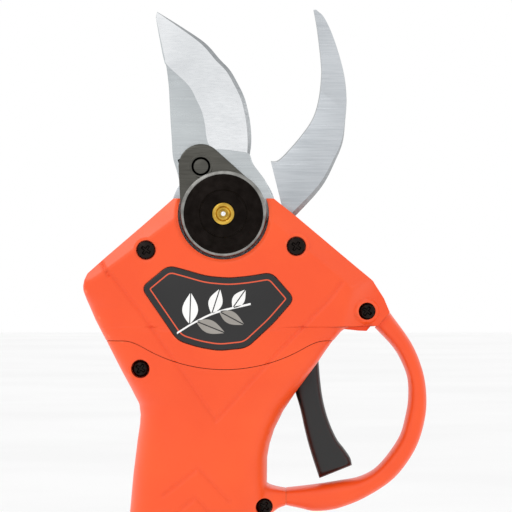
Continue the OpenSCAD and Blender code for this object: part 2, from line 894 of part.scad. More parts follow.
module latch_spring() {
    color(steel) in_handle() translate([0, -12.65, -146.3]) rotate([90, 0, 0])
        coil(2, 0.25, 3.1, 4);
}

battery_case();
battery_base();
battery_cells();
cell_holder();
battery_board();
battery_terminals();
battery_screws();
battery_latch();
latch_spring();
handle_front_shell();
handle_rear_shell();
front_head_cover();
rear_head_cover();
guard_bow();
nameplate();
fixed_blade();
fixed_blade_screws();
blade_bush();
head_frame();
gear_case_cover();
shaft_bushes();
pinion_bearing();
gearbox_housing();
motor_front_plate();
motor_can();
stator();
windings();
motor_bearings();
control_board();
power_transistors();
capacitors();
hall_sensor();
power_switch();
contact_block();
handle_terminals();
trigger_pin();
head_screws();
handle_screws();
guard_screws();
status_light();
phase_wires();
moving_blade();
blade_carrier();
drive_pin();
pivot_shaft();
pivot_cap();
rim_washer();
grease_nipple();
nipple_ball();
crown_gear();
bevel_pinion();
planet_carrier();
planet_gear_1();
planet_gear_2();
planet_gear_3();
sun_gear();
rotor();
trigger();
trigger_spring();
power_button();
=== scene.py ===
import json
import math

import bpy
import numpy as np
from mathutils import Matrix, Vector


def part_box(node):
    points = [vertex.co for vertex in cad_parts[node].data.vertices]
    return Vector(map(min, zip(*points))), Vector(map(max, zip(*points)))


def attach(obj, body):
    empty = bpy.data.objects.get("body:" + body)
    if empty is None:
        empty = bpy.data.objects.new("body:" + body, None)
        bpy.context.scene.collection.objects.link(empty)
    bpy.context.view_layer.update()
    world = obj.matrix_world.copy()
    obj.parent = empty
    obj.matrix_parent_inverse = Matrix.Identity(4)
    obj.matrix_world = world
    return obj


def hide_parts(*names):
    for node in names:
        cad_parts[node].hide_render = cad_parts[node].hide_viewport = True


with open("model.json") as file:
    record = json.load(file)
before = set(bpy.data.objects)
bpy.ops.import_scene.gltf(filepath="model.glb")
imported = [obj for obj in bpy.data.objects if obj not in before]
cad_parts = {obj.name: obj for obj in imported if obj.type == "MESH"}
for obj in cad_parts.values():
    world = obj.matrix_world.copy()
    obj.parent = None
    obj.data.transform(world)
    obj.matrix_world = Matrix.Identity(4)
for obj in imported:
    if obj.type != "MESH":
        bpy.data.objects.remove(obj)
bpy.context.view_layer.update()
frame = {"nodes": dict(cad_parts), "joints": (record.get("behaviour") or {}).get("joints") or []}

bl_info = {
    "name": "Battery electric pruner",
    "version": (1, 0, 0),
    "blender": (4, 5, 0),
    "location": "3D View > Sidebar > Pruner",
    "description": "Builds the outside of a battery electric pruner round its CAD frame",
    "category": "Add Mesh",
}

# Lengths in the functions are millimetres from the blade pivot, x to the guard's side,
# y from the front to the back and z up. The frame gives the pivot and the handle's lean.
low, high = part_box("rim_washer")
PIVOT = np.array([(low.x + high.x) / 2, 0.0, (low.z + high.z) / 2])
LIFT = next(j for j in frame["joints"] if j["name"] == "tool_lift")["axis"]
LEAN = math.atan2(LIFT[0], LIFT[2])


def front_of(node):
    """How far a node's front face is from the middle plane, in millimetres along y."""
    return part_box(node)[0].y * 1000


def back_of(node):
    """How far a node's back face is from the middle plane, in millimetres along y."""
    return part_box(node)[1].y * 1000


BODY_HALF = -front_of("front_head_cover")
BLADE_FRONT, BLADE_BACK = front_of("moving_blade"), back_of("moving_blade")
HOOK_FRONT, HOOK_BACK = front_of("fixed_blade"), back_of("fixed_blade")
CARRIER_FRONT = front_of("blade_carrier")
WASHER_FRONT = front_of("rim_washer")
PLATE_FRONT = front_of("nameplate")
HANDLE_END = 140.0
PIN_AT = (-7.1, 15.0)

# The body's left and right edges, as (height, place across), from the handle's end upwards
LEFT_EDGE = [(-146, -34.9), (-125, -32.7), (-110, -31.3), (-95, -30), (-83, -28.9), (-72.4, -27.6),
    (-67, -26.8), (-63.8, -26.6), (-60.4, -27), (-54.4, -30), (-49.7, -32.5), (-39.1, -37.8),
    (-33.6, -40.7), (-27.5, -43.3), (-24.3, -44.4), (-22.8, -44.5), (-20.9, -44.1), (-18.8, -43.1),
    (-13.4, -37), (-2, -23.7), (4.9, -15.9)]
RIGHT_EDGE = [(-146, 9.2), (-125, 11), (-110, 12.3), (-95, 13.4), (-85, 13.8), (-77.5, 13.9),
    (-73.2, 14.7), (-68.5, 16.2), (-62.5, 19.2), (-56.7, 23), (-52.6, 26), (-47.3, 29.9),
    (-44.1, 32), (-40.7, 34.4), (-37.2, 37.4), (-36.1, 39), (-35.75, 40.6), (-35.6, 49.1),
    (-31.2, 53), (-26.7, 51.1), (-21.1, 47.5), (-16.5, 41.9), (-0.5, 22.8), (3.6, 17.6), (4.9, 16)]
# The inner edges of the chamfers on the two shoulders, from the notch outwards
LEFT_SHOULDER = [(-14, -1.4), (-44.6, -24.3)]
RIGHT_SHOULDER = [(14, -2.2), (41.5, -25.2)]
# The V groove down the front, the two chevrons under it and the nick across the left chamfer
V_GROOVE = [(-35.4, -19.4), (-25.8, -31.5), (-18.9, -41.5), (-2.5, -65.3), (11.8, -49.5),
    (17.7, -43.1), (33.6, -26.7), (37.2, -21.8)]
CHEVRONS = [[(-18.8, -88.7), (-8.1, -80.3), (1.8, -90.9)], [(-20.6, -98.9), (-8.9, -89.5), (0.9, -99.9)]]
NICK = [(-39.4, -13.6), (-36.2, -19.6)]

HEAD_SCREWS = [(-24.4, -11.4), (23, -10.2)]
GUARD_SCREWS = [(45.5, -30.8), (12.9, -92.9)]
HANDLE_SCREWS = [(-26.2, -48.9), (-26.4, -117), (5, -117)]

# The guard from the cover's seam round to the lug's seam: its inner and its outer edge
GUARD_INNER = [(48.4, -36.3), (54, -42.3), (56.9, -47.2), (58.8, -52.6), (59, -59.1), (58.1, -64.6),
    (56.4, -70.6), (52.6, -76.6), (48.3, -81.3), (43.2, -83.9), (37.5, -85), (32, -85.9),
    (26, -86.7), (19.9, -87.4)]
GUARD_OUTER = [(53, -31.2), (59.9, -41), (63.4, -49.4), (64.7, -56.9), (64.4, -64.6), (62, -73.2),
    (57.7, -80.5), (52.6, -85.8), (44.9, -90.6), (38.4, -93.3), (33.7, -94.5), (28.6, -94.8),
    (25, -94), (19.9, -92.9)]

# The moving blade from heel to tip: cutting edge, line where its grind starts, and back
BLADE_EDGE = [(8.2, 18), (8.8, 22.8), (8.6, 27.8), (7.8, 32.7), (6.5, 37.4), (4.3, 41.9),
    (2, 45.8), (-1.2, 49.2), (-5.8, 54.3), (-12.9, 59.2), (-21.1, 64.3)]
BLADE_GRIND = [(-1, 18), (-4.6, 21.5), (-5.7, 24.5), (-6.1, 27.9), (-7, 32), (-8.6, 35.6),
    (-11.4, 40.7), (-18, 47), (-18.9, 49.5), (-20, 55.1), (-21.4, 62.2)]
BLADE_SPINE = [(-14.9, 14), (-16, 18), (-16.4, 23.8), (-16.7, 28.2), (-16.9, 32), (-17.1, 36),
    (-17.4, 41), (-18.2, 47.1), (-19.1, 49.6), (-20.2, 55.2), (-21.5, 62.4)]
BLADE_ROOT = [(-15.6, 17), (-14, 10.5), (-13.1, 6.3), (-11, -2), (-4, -9), (6, -9), (13, -4),
    (16.6, 3), (13.2, 10.8), (9.2, 16), (8.3, 19.4), (0, 20.5), (-9, 20.5)]
HOOK_INNER = [(15, 16.9), (17.3, 17.2), (20.4, 20.1), (24.7, 25.1), (28.3, 30.5), (30.2, 36.7),
    (31, 44.1), (30.8, 49.1), (30, 56.4), (29.4, 60.6), (28.6, 64.9)]
HOOK_OUTER = [(20, -3.2), (22.9, -0.5), (31.1, 8.6), (35.6, 17.1), (37.9, 23.1), (38.7, 30),
    (39.1, 37.2), (38.1, 45.5), (35.2, 55.5), (32.1, 62.4), (29.4, 65)]

# The trigger from its pivot down to the toe: front edge and back edge
TRIGGER_FRONT = [(27.6, -39), (29.6, -42.6), (30.2, -46.6), (30.7, -52.6), (31.6, -59.1),
    (33.3, -65.5), (35.9, -71.5), (38.4, -74.9), (40.3, -77.8), (40.9, -80.2)]
TRIGGER_BACK = [(19.8, -38), (20, -42.4), (20.5, -46.6), (21.4, -51.6), (22.8, -56.9),
    (24.3, -62.1), (25.6, -68.1), (26.9, -73.4), (28.6, -79), (30.4, -84.4)]

PLATE_OUTLINE = [(-17.3, -16.3), (-12.1, -17.7), (-5.2, -19.7), (1.8, -20.3), (8.1, -19.7),
    (15.2, -18.5), (22.4, -26.8), (15.6, -34.6), (7.4, -42.2), (-1.4, -43.1), (-7.8, -42),
    (-14.4, -39.9), (-25.8, -23.3)]


# ---- Curves, outlines and closed surfaces ----

def smooth(points, steps, loop=False):
    """A Catmull-Rom curve: between neighbours p1 and p2 it is the cubic that leaves p1 along
    p2 - p0 and reaches p2 along p3 - p1."""
    p = np.asarray(points, float)
    if loop:
        p = np.concatenate([p[-1:], p, p[:2]])
    else:
        p = np.concatenate([2 * p[:1] - p[1:2], p, 2 * p[-1:] - p[-2:-1]])
    spans = len(p) - 3
    t = np.linspace(0, spans, steps, endpoint=not loop)
    i = np.minimum(t.astype(int), spans - 1)
    f = (t - i)[:, None]
    a, b, c, d = p[i], p[i + 1], p[i + 2], p[i + 3]
    return 0.5 * (2 * b + (c - a) * f + (2 * a - 5 * b + 4 * c - d) * f**2
        + (3 * b - a - 3 * c + d) * f**3)


def step(low, high, value):
    """0 below low, 1 above high, and 3t^2 - 2t^3 between."""
    t = np.clip((value - low) / (high - low), 0, 1)
    return t * t * (3 - 2 * t)


def softer(a, b, width):
    """The lesser of two heights, rounded off over the given width where they cross."""
    t = np.clip(0.5 + 0.5 * (b - a) / width, 0, 1)
    return b + (a - b) * t - width * t * (1 - t)


def to_line(x, z, points):
    """The distance from each (x, z) to the nearest place on a line of straight spans."""
    nearest = np.full(np.broadcast(x, z).shape, 1e9)
    for (ax, az), (bx, bz) in zip(points[:-1], points[1:]):
        dx, dz = bx - ax, bz - az
        t = np.clip(((x - ax) * dx + (z - az) * dz) / (dx * dx + dz * dz), 0, 1)
        nearest = np.minimum(nearest, np.hypot(x - ax - t * dx, z - az - t * dz))
    return nearest


def beyond(x, z, line):
    """How far each (x, z) lies above the straight line through the two points of line."""
    (ax, az), (bx, bz) = sorted(line)
    return ((z - az) * (bx - ax) - (x - ax) * (bz - az)) / math.hypot(bx - ax, bz - az)


def rounded_corners(outline, radius, steps=8):
    """The outline with each corner p turned into the quadratic curve from p - r to p + r
    along its two sides, with p as the middle control point."""
    p = np.asarray(outline, float)
    before, after = np.roll(p, 1, 0) - p, np.roll(p, -1, 0) - p
    reach = np.minimum(radius, 0.45 * np.minimum(np.linalg.norm(before, axis=1),
        np.linalg.norm(after, axis=1)))[:, None]
    a = p + before / np.linalg.norm(before, axis=1)[:, None] * reach
    b = p + after / np.linalg.norm(after, axis=1)[:, None] * reach
    t = np.linspace(0, 1, steps)[None, :, None]
    curve = (1 - t)**2 * a[:, None] + 2 * t * (1 - t) * p[:, None] + t**2 * b[:, None]
    return curve.reshape(-1, 2)


def moved_in(outline, distance):
    """The outline moved inwards along the mean normal of each corner, divided by the cosine of
    half the turn there."""
    p = np.asarray(outline, float)
    ahead = np.roll(p, -1, 0)
    side = ahead - p
    if np.sum(p[:, 0] * ahead[:, 1] - ahead[:, 0] * p[:, 1]) < 0:
        side = -side
    side = side / np.maximum(np.linalg.norm(side, axis=1), 1e-9)[:, None]
    normal = np.stack([-side[:, 1], side[:, 0]], 1)
    mean = normal + np.roll(normal, 1, 0)
    mean /= np.maximum(np.linalg.norm(mean, axis=1), 1e-9)[:, None]
    cosine = np.clip(np.sum(mean * normal, 1), 0.5, 1)
    return p + mean * (distance / cosine)[:, None]


def circle(radius, at=(0, 0), steps=96):
    """Points at radius (cos a, sin a) round at."""
    a = np.linspace(0, 2 * math.pi, steps, endpoint=False)
    return np.stack([at[0] + radius * np.cos(a), at[1] + radius * np.sin(a)], 1)


def outwards(points, quads, caps=()):
    """Turns a closed surface to face outwards: the sum over its faces of a . (b x c) is six
    times its volume, and is negative where it is inside out."""
    a, b, c, d = (points[quads[:, k]] for k in range(4))
    six = np.sum(a * np.cross(b, c)) + np.sum(a * np.cross(c, d))
    for cap in caps:
        fan = points[cap]
        six += np.sum(fan[0] * np.cross(fan[1:-1], fan[2:]))
    if six < 0:
        quads, caps = quads[:, ::-1], [cap[::-1] for cap in caps]
    return points, quads, list(caps)


def grid_quads(rows, columns, loop):
    """Quads between neighbours of a grid, closed across its last column when loop is set."""
    i, j = np.meshgrid(np.arange(rows - 1), np.arange(columns if loop else columns - 1),
        indexing="ij")
    k = (j + 1) % columns
    return np.stack([i * columns + j, i * columns + k, (i + 1) * columns + k,
        (i + 1) * columns + j], -1).reshape(-1, 4)


def tube(rings):
    """A solid skinned over rings of points, with one flat face at each end."""
    count, around = rings.shape[:2]
    ends = [np.arange(around)[::-1], (count - 1) * around + np.arange(around)]
    return outwards(rings.reshape(-1, 3), grid_quads(count, around, True), ends)


def revolve(profile, at=(0, 0), steps=96):
    """Each (r, y) of the profile becomes the ring x = r cos a, z = r sin a round the Y axis."""
    r, y = (np.asarray(profile, float)[:, k, None] for k in (0, 1))
    a = np.linspace(0, 2 * math.pi, steps, endpoint=False)
    x, z = at[0] + r * np.cos(a), at[1] + r * np.sin(a)
    return tube(np.stack([x, y + 0 * x, z], -1))


def slab(outline, front, back, front_round=0.0, back_round=0.0, steps=5):
    """A flat outline given thickness along y. A rounded rim is a quarter circle: at angle q it
    is r (1 - cos q) in from the outline and r (1 - sin q) from the face."""
    q = np.linspace(0, math.pi / 2, steps)
    rims = []
    for face, r, sign in ((back, back_round, -1), (front, front_round, 1)):
        rim = [(face + sign * r * (1 - math.sin(k)), r * (1 - math.cos(k))) for k in q] if r else [
            (face, 0.0)]
        rims += rim[::-1] if face == back else rim
    rings = []
    for y, d in rims:
        flat = moved_in(outline, d)
        rings.append(np.stack([flat[:, 0], np.full(len(flat), y), flat[:, 1]], 1))
    return tube(np.array(rings))


def leaning(points):
    """Points given from the pivot along the handle's own axis, turned by its lean."""
    x, y, z = np.moveaxis(np.asarray(points, float), -1, 0)
    c, s = math.cos(LEAN), math.sin(LEAN)
    return np.stack([x * c + z * s, y, z * c - x * s], -1)


def leant(part):
    """A closed surface turned by the handle's lean."""
    return leaning(part[0]), part[1], part[2]


# ---- From arrays to objects ----

def mesh_of(name, parts):
    """One mesh from closed surfaces in millimetres from the pivot."""
    points, faces, start = [], [], 0
    for part, quads, caps in parts:
        points.append(part)
        faces += (quads + start).tolist() + [(cap + start).tolist() for cap in caps]
        start += len(part)
    mesh = bpy.data.meshes.new(name)
    mesh.from_pydata((np.concatenate(points) * 0.001 + PIVOT).tolist(), [], faces)
    mesh.validate()
    return mesh


def put(name, mesh):
    made = bpy.data.objects.new(name, mesh)
    bpy.context.scene.collection.objects.link(made)
    return made


def settled(piece):
    """The piece with its modifiers worked into its mesh."""
    bpy.context.view_layer.update()
    ready = piece.evaluated_get(bpy.context.evaluated_depsgraph_get())
    mesh = bpy.data.meshes.new_from_object(ready)
    old = piece.data
    piece.modifiers.clear()
    piece.data = mesh
    bpy.data.meshes.remove(old)
    return piece


def carve(piece, operation, parts):
    """Joins each closed surface to the piece, or takes it away, or keeps only what it holds."""
    for part in parts:
        tool = put("cutter", mesh_of("cutter", [part]))
        change = piece.modifiers.new("carve", "BOOLEAN")
        change.operation, change.solver, change.object = operation, "MANIFOLD", tool
        settled(piece)
        bpy.data.objects.remove(tool)
        if len(piece.data.vertices) < 20:
            raise RuntimeError(f"{piece.name} came out of a {operation} empty")


def finish(piece, material, body, nodes=(), crease=35):
    """Smooth shading with creases sharper than the given angle kept, then the frame's facts."""
    piece.data.materials.clear()
    for each in material if isinstance(material, list) else [material]:
        piece.data.materials.append(each)
    piece.data.polygons.foreach_set("use_smooth", [True] * len(piece.data.polygons))
    piece.data.set_sharp_from_angle(angle=math.radians(crease))
    piece.data.name = piece.name
    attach(piece, body)
    if nodes:
        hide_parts(*nodes)
    return piece


def piece(name, parts, material, body, slot, nodes=(), crease=35):
    return finish(put(name, mesh_of(name, parts)), material, body, nodes, crease)


# ---- Finishes ----

def linear(code):
    """An sRGB hex colour as the linear values that shaders use."""
    s = np.array([int(code[k:k + 2], 16) / 255 for k in (1, 3, 5)])
    return tuple(np.where(s <= 0.04045, s / 12.92, ((s + 0.055) / 1.055)**2.4)) + (1.0,)


def add(tree, kind, inputs=None, **settings):
    """Adds a node. An input is given as a value, or as (node, output) to link it."""
    made = tree.nodes.new("ShaderNode" + kind)
    for name, value in settings.items():
        setattr(made, name, value)
    for name, value in (inputs or {}).items():
        if isinstance(value, tuple) and isinstance(value[0], bpy.types.Node):
            tree.links.new(value[0].outputs[value[1]], made.inputs[name])
        else:
            made.inputs[name].default_value = value
    return made


def per_mm(size):
    """The noise scale at which one feature is this many millimetres in Object coordinates."""
    return 1000 / size


def blank(name):
    made = bpy.data.materials.new(name)
    made.use_nodes = True
    made.node_tree.nodes.clear()
    return made, made.node_tree


def varied(tree, vector, colour, other, size, share=1.0):
    """A colour that wanders between two over patches of the given size."""
    cloud = add(tree, "TexNoise", {"Vector": vector, "Scale": per_mm(size), "Detail": 3.0})
    spread = add(tree, "MapRange", {"Value": (cloud, 0), "From Min": 0.35, "From Max": 0.65,
        "To Max": share})
    return add(tree, "Mix", {0: (spread, 0), 6: colour, 7: other}, data_type="RGBA")


def close(tree, shader):
    add(tree, "OutputMaterial", {"Surface": (shader, 0)})


def moulded(name, colour, shade, rubbed, grain, rough, specular=0.5, wear=0.35):
    """Injection moulded plastic: a fine spark-eroded grain, slow drifts of colour where the melt cooled
    unevenly, and edges rubbed paler."""
    made, tree = blank(name)
    place = add(tree, "TexCoord")
    base = varied(tree, (place, "Object"), colour, shade, 34)
    edge = add(tree, "NewGeometry")
    worn = add(tree, "MapRange", {"Value": (edge, "Pointiness"), "From Min": 0.53,
        "From Max": 0.62, "To Max": wear})
    paler = add(tree, "Mix", {0: (worn, 0), 6: (base, 2), 7: rubbed}, data_type="RGBA")
    fine = add(tree, "TexNoise", {"Vector": (place, "Object"), "Scale": per_mm(grain),
        "Detail": 4.0, "Roughness": 0.6})
    slow = add(tree, "TexNoise", {"Vector": (place, "Object"), "Scale": per_mm(9.0),
        "Detail": 2.0})
    dull = add(tree, "MapRange", {"Value": (slow, 0), "To Min": rough - 0.07,
        "To Max": rough + 0.07})
    bump = add(tree, "Bump", {"Height": (fine, 0), "Strength": 0.35, "Distance": 0.00004})
    close(tree, add(tree, "BsdfPrincipled", {"Base Color": (paler, 2), "Roughness": (dull, 0),
        "Normal": (bump, 0), "IOR": 1.5, "Specular IOR Level": specular}))
    return made


def ground(name, colour, dark, rough, turn, length, width, mark=0.5, bump=0.00002, metal=1.0):
    """Ground or brushed metal: scratches long one way and narrow the other, laid at a turn
    about y, which streak both the tone and the gloss."""
    made, tree = blank(name)
    place = add(tree, "TexCoord")
    along = add(tree, "Mapping", {"Vector": (place, "Object"), "Rotation":
        (0.0, math.radians(turn), 0.0), "Scale": (per_mm(length), per_mm(width), per_mm(width))})
    lines = add(tree, "TexNoise", {"Vector": (along, 0), "Scale": 1.0, "Detail": 5.0,
        "Roughness": 0.65})
    wide = add(tree, "TexNoise", {"Vector": (place, "Object"), "Scale": per_mm(22),
        "Detail": 2.0})
    both = add(tree, "Math", {0: (lines, 0), 1: (wide, 0)}, operation="ADD")
    tone = add(tree, "MapRange", {"Value": (both, 0), "From Min": 0.75, "From Max": 1.25,
        "To Max": mark})
    tint = add(tree, "Mix", {0: (tone, 0), 6: colour, 7: dark}, data_type="RGBA")
    gloss = add(tree, "MapRange", {"Value": (lines, 0), "From Min": 0.3, "From Max": 0.7,
        "To Min": rough - 0.08, "To Max": rough + 0.1})
    fine = add(tree, "Bump", {"Height": (lines, 0), "Strength": 0.5, "Distance": bump})
    close(tree, add(tree, "BsdfPrincipled", {"Base Color": (tint, 2), "Metallic": metal,
        "Roughness": (gloss, 0), "Normal": (fine, 0)}))
    return made


def turned(name, colour, dark, rough, pitch):
    """Metal turned on a lathe about the pivot: rings one tool feed apart, which catch the light
    as fine circles."""
    made, tree = blank(name)
    place = add(tree, "TexCoord")
    centred = add(tree, "Mapping", {"Vector": (place, "Object"), "Location":
        (-PIVOT[0], 0.0, -PIVOT[2])})
    rings = add(tree, "TexWave", {"Vector": (centred, 0), "Scale": per_mm(pitch) / 20,
        "Distortion": 1.5, "Detail": 2.0}, wave_type="RINGS", rings_direction="Y")
    stain = varied(tree, (place, "Object"), colour, dark, 2.5, 0.6)
    gloss = add(tree, "MapRange", {"Value": (rings, 1), "To Min": rough - 0.05,
        "To Max": rough + 0.1})
    bump = add(tree, "Bump", {"Height": (rings, 1), "Strength": 0.25, "Distance": 0.00003})
    close(tree, add(tree, "BsdfPrincipled", {"Base Color": (stain, 2), "Metallic": 1.0,
        "Roughness": (gloss, 0), "Normal": (bump, 0)}))
    return made


def glassy(name, colour, shade):
    """Clear moulded plastic, which lets light through and has a few faint swirls."""
    made, tree = blank(name)
    place = add(tree, "TexCoord")
    base = varied(tree, (place, "Object"), colour, shade, 1.5)
    swirl = add(tree, "TexNoise", {"Vector": (place, "Object"), "Scale": per_mm(1.2)})
    bump = add(tree, "Bump", {"Height": (swirl, 0), "Strength": 0.2, "Distance": 0.00003})
    close(tree, add(tree, "BsdfPrincipled", {"Base Color": (base, 2), "Roughness": 0.12,
        "IOR": 1.49, "Transmission Weight": 0.7, "Normal": (bump, 0)}))
    return made


def finishes(colours):
    """Every finish of the tool."""
    orange, steel = tuple(colours.orange), tuple(colours.steel)
    # glass-filled nylon in orange: satin, with a fine even grain
    moulded("orange_nylon", orange, linear("#ef4c10"), linear("#fb8350"), 0.5, 0.42)
    # glass-filled nylon in black: a dry satin that shows its rounded edges as grey lines
    moulded("black_nylon", tuple(colours.black), linear("#0e0e0f"), linear("#3a3836"), 0.45,
        0.44)
    # polycarbonate label: smooth black with a soft shine
    moulded("label_film", linear("#131112"), linear("#0f0e0f"), linear("#3a3838"), 0.8, 0.3,
        wear=0.1)
    # screen-printed inks on the label, flat and a little chalky
    moulded("white_ink", linear("#f4f3f1"), linear("#e9e8e6"), linear("#ffffff"), 0.4, 0.5)
    moulded("grey_ink", linear("#98938c"), linear("#89847e"), linear("#a9a49d"), 0.4, 0.5)
    moulded("orange_ink", linear("#e4512c"), linear("#cf4423"), linear("#f0683f"), 0.4, 0.5)
    # hardened tool steel, flat ground: fine streaks that run up the blade
    ground("flat_ground_steel", steel, linear("#8f9498"), 0.3, 62, 16, 0.5, 0.45)
    # the cutting bevel, ground across the blade: brighter, with coarser marks
    ground("bevel_ground_steel", linear("#eceef0"), linear("#a7acb0"), 0.24, -28, 9, 0.4, 0.4)
    # the hook's face, brushed along a line rising to the right
    ground("brushed_steel", linear("#c6cace"), linear("#8f959a"), 0.33, -24, 14, 0.45, 0.55)
    # the same steel on the narrow bevels where the edge is cut back, painted darker as painted shade for
    # facets turned from the light
    ground("edge_steel_painted_shade", linear("#a9acae"), linear("#6f7376"), 0.36, -24, 10, 0.5, 0.5)
    # black oxide on steel: nearly black, with the grey of the metal rubbed through
    ground("black_oxide_steel", linear("#5b5a55"), linear("#34332f"), 0.36, 30, 7, 0.5, 0.6)
    # the pivot cap: black anodised, turned on a lathe
    turned("black_anodised_cap", linear("#1d1917"), linear("#0f0c0a"), 0.3, 0.5)
    # the washer's rim, turned and left bright
    turned("turned_steel", linear("#9b9a96"), linear("#5f5e5b"), 0.3, 0.4)
    # brass, machined: yellow with brown in its hollows
    turned("machined_brass", linear("#d9b24e"), linear("#8c6a22"), 0.26, 0.4)
    # black zinc on screws: glossy, with a brown cast
    ground("black_zinc_screw", linear("#2a2523"), linear("#120d0b"), 0.26, 0, 1.2, 0.5, 0.5)
    # a hardened bearing ball
    ground("polished_steel", linear("#e8eaec"), linear("#b9bcbf"), 0.16, 0, 2, 0.4, 0.3)
    # die-cast aluminium: dull grey with a slightly pitted skin
    ground("cast_alloy", linear("#9a9da0"), linear("#6d7073"), 0.46, 0, 1.6, 1.2, 0.5)
    # steel machined for gears and shafts, under a film of grease
    ground("machined_steel", linear("#a9adb1"), linear("#6b6f73"), 0.3, 0, 5, 0.4, 0.5)
    # phosphate-treated steel of the motor and gearbox
    ground("dark_steel", linear("#4b4d50"), linear("#2b2c2e"), 0.42, 0, 4, 0.6, 0.5)
    # enamelled copper wire, with the lie of its turns
    ground("copper_wire", linear("#b8692f"), linear("#7a3e17"), 0.34, 90, 8, 0.6, 0.6)
    # solder-masked glass board: green under a thin gloss
    moulded("circuit_board", linear("#1f5a37"), linear("#174a2c"), linear("#2f7a4c"), 0.9, 0.3)
    # epoxy bodies of the small parts on the board
    moulded("component_epoxy", linear("#202226"), linear("#15171a"), linear("#34373c"), 0.3, 0.5)
    # shrink wrap round the cells
    moulded("cell_wrap", linear("#2f6fb0"), linear("#265c95"), linear("#5d93c8"), 2.5, 0.28)
    # natural ABS of the cell holder
    moulded("holder_abs", linear("#e8e4da"), linear("#dcd7ca"), linear("#f3f0e8"), 0.5, 0.5)
    # red ABS of the power button
    moulded("red_abs", linear("#c52f22"), linear("#b0261b"), linear("#e06a5c"), 0.45, 0.36)
    # insulation of the wires to the motor
    moulded("wire_insulation", linear("#c8362e"), linear("#ad2b24"), linear("#de625b"), 0.6,
        0.4)
    glassy("clear_acrylic", linear("#d8f2d0"), linear("#c3e6ba"))


# What each carried-over node is made of
NODE_FINISH = {
    "machined_steel": ["pinion_bearing", "motor_bearings", "crown_gear", "bevel_pinion",
        "planet_gear_1", "planet_gear_2", "planet_gear_3", "trigger_pin", "trigger_spring",
        "latch_spring", "battery_screws", "stator"],
    "dark_steel": ["pivot_shaft", "planet_carrier", "gearbox_housing", "motor_can", "rotor",
        "fixed_blade_screws"],
    "cast_alloy": ["head_frame", "gear_case_cover", "motor_front_plate"],
    "machined_brass": ["blade_bush", "shaft_bushes", "sun_gear", "handle_terminals",
        "battery_terminals"],
    "copper_wire": ["windings"],
    "circuit_board": ["control_board", "hall_sensor", "battery_board"],
    "component_epoxy": ["power_transistors", "capacitors"],
    "black_nylon": ["contact_block", "power_switch"],
    "cell_wrap": ["battery_cells"],
    "holder_abs": ["cell_holder"],
    "wire_insulation": ["phase_wires"],
}


def of(name):
    return bpy.data.materials[name]


# ---- Shapes of the moulded body ----

def seam_height(x):
    """The seam between head covers and handle: a level line at each side that runs softly into
    the bottom of a circle of radius 50.7 about (0.3, 1.6)."""
    bowl = 1.6 - np.sqrt(np.maximum(50.7**2 - (x - 0.3)**2, 0))
    return softer(bowl, np.full_like(bowl, -40.1), 2.2)


def body_height(x, z, left, right, side, sizes):
    """How far the body stands out from its middle plane. A superellipse
    T (1 - |X|^n)^(1/n) across each level, rounder down the handle, is cut by the shoulders'
    chamfer planes, falls away to the horn, and is marked by grooves cos^2 across their width."""
    mid, half = (left + right) / 2, (right - left) / 2
    across = np.clip(np.abs((x - mid) / half), 0, 1)
    power = 3.2 + 4.3 * step(-66, -36, z) + 12 * step(-30, -20, z)
    swell = np.interp(z, [-146, -125, -110, -95, -60, -36, 5],
        [21.2, 20, 19.1, 18.7, 18.8, BODY_HALF, BODY_HALF])
    height = swell * (1 - across**power)**(1 / power)
    if side < 0:
        # a shallow waist either side of the grip's middle
        height -= 0.5 * step(0.35, 0.75, across) * step(-140, -100, z) * step(-58, -75, -z - 133)
    for line in (LEFT_SHOULDER, RIGHT_SHOULDER):
        over = beyond(x, z, line)
        height = softer(height, BODY_HALF - 0.95 * over, 0.55)
    horn = 8.8 + (BODY_HALF - 8.8) * (1 - step(36.5, 48.5, x - 0.25 * (z + 30)))
    height = softer(height, np.where(z > -37, horn, 99), 1.2)

    def groove(distance, width, depth):
        return depth * np.cos(np.clip(distance / width, -1, 1) * math.pi / 2)**2

    height = height - groove(to_line(x, z, V_GROOVE), sizes.groove_width, sizes.groove_depth)
    seam = np.abs(z - seam_height(x))
    height = height - groove(seam, 0.5, 0.18)
    if side < 0:
        for line in CHEVRONS:
            height = height - groove(to_line(x, z, line), sizes.groove_width, sizes.groove_depth)
        height = height - groove(to_line(x, z, NICK), 0.8, 0.6)
        lip = np.hypot(x, z)
        height = height - 0.9 * (1 - step(sizes.notch_radius - 0.2, sizes.notch_radius + 1.1, lip))
        for at, radius in [(p, 3.1) for p in HEAD_SCREWS] + [(p, 2.95) for p in HANDLE_SCREWS]:
            ring = np.hypot(x - at[0], z - at[1])
            height = height - 0.45 * (1 - step(radius - 0.3, radius + 0.5, ring))
        boss = np.hypot(x - GUARD_SCREWS[0][0], z - GUARD_SCREWS[0][1])
        height = height + 1.1 * (1 - step(3.3, 4.3, boss))
    return np.maximum(height, 0.08)


def body_surface(side, levels, columns, sizes):
    """A grid over the body: at each level z it runs from the left edge to the right edge with
    x = mid - half X, where X mixes a line with a sine so that it is dense at both edges, and y
    is the body's height there."""
    z = np.asarray(levels, float)[:, None]
    left = np.interp(z, *np.array(LEFT_EDGE, float).T)
    right = np.interp(z, *np.array(RIGHT_EDGE, float).T)
    u = np.linspace(1, -1, columns)[None, :]
    across = 0.4 * u + 0.6 * np.sin(u * math.pi / 2)
    x = (left + right) / 2 - (right - left) / 2 * across
    y = side * body_height(x, z + 0 * x, left, right, side, sizes)
    points = np.stack([x, y, z + 0 * x], -1).reshape(-1, 3)
    quads = grid_quads(len(levels), columns, False)
    return points, quads[:, ::-1] if side > 0 else quads


def shell(name, side, levels, columns, sizes):
    """The body's surface given its wall thickness inwards."""
    points, quads = body_surface(side, levels, columns, sizes)
    made = put(name, mesh_of(name, [(points, quads, [])]))
    wall = made.modifiers.new("wall", "SOLIDIFY")
    wall.thickness, wall.offset = sizes.wall * 0.001, -1
    return settled(made)


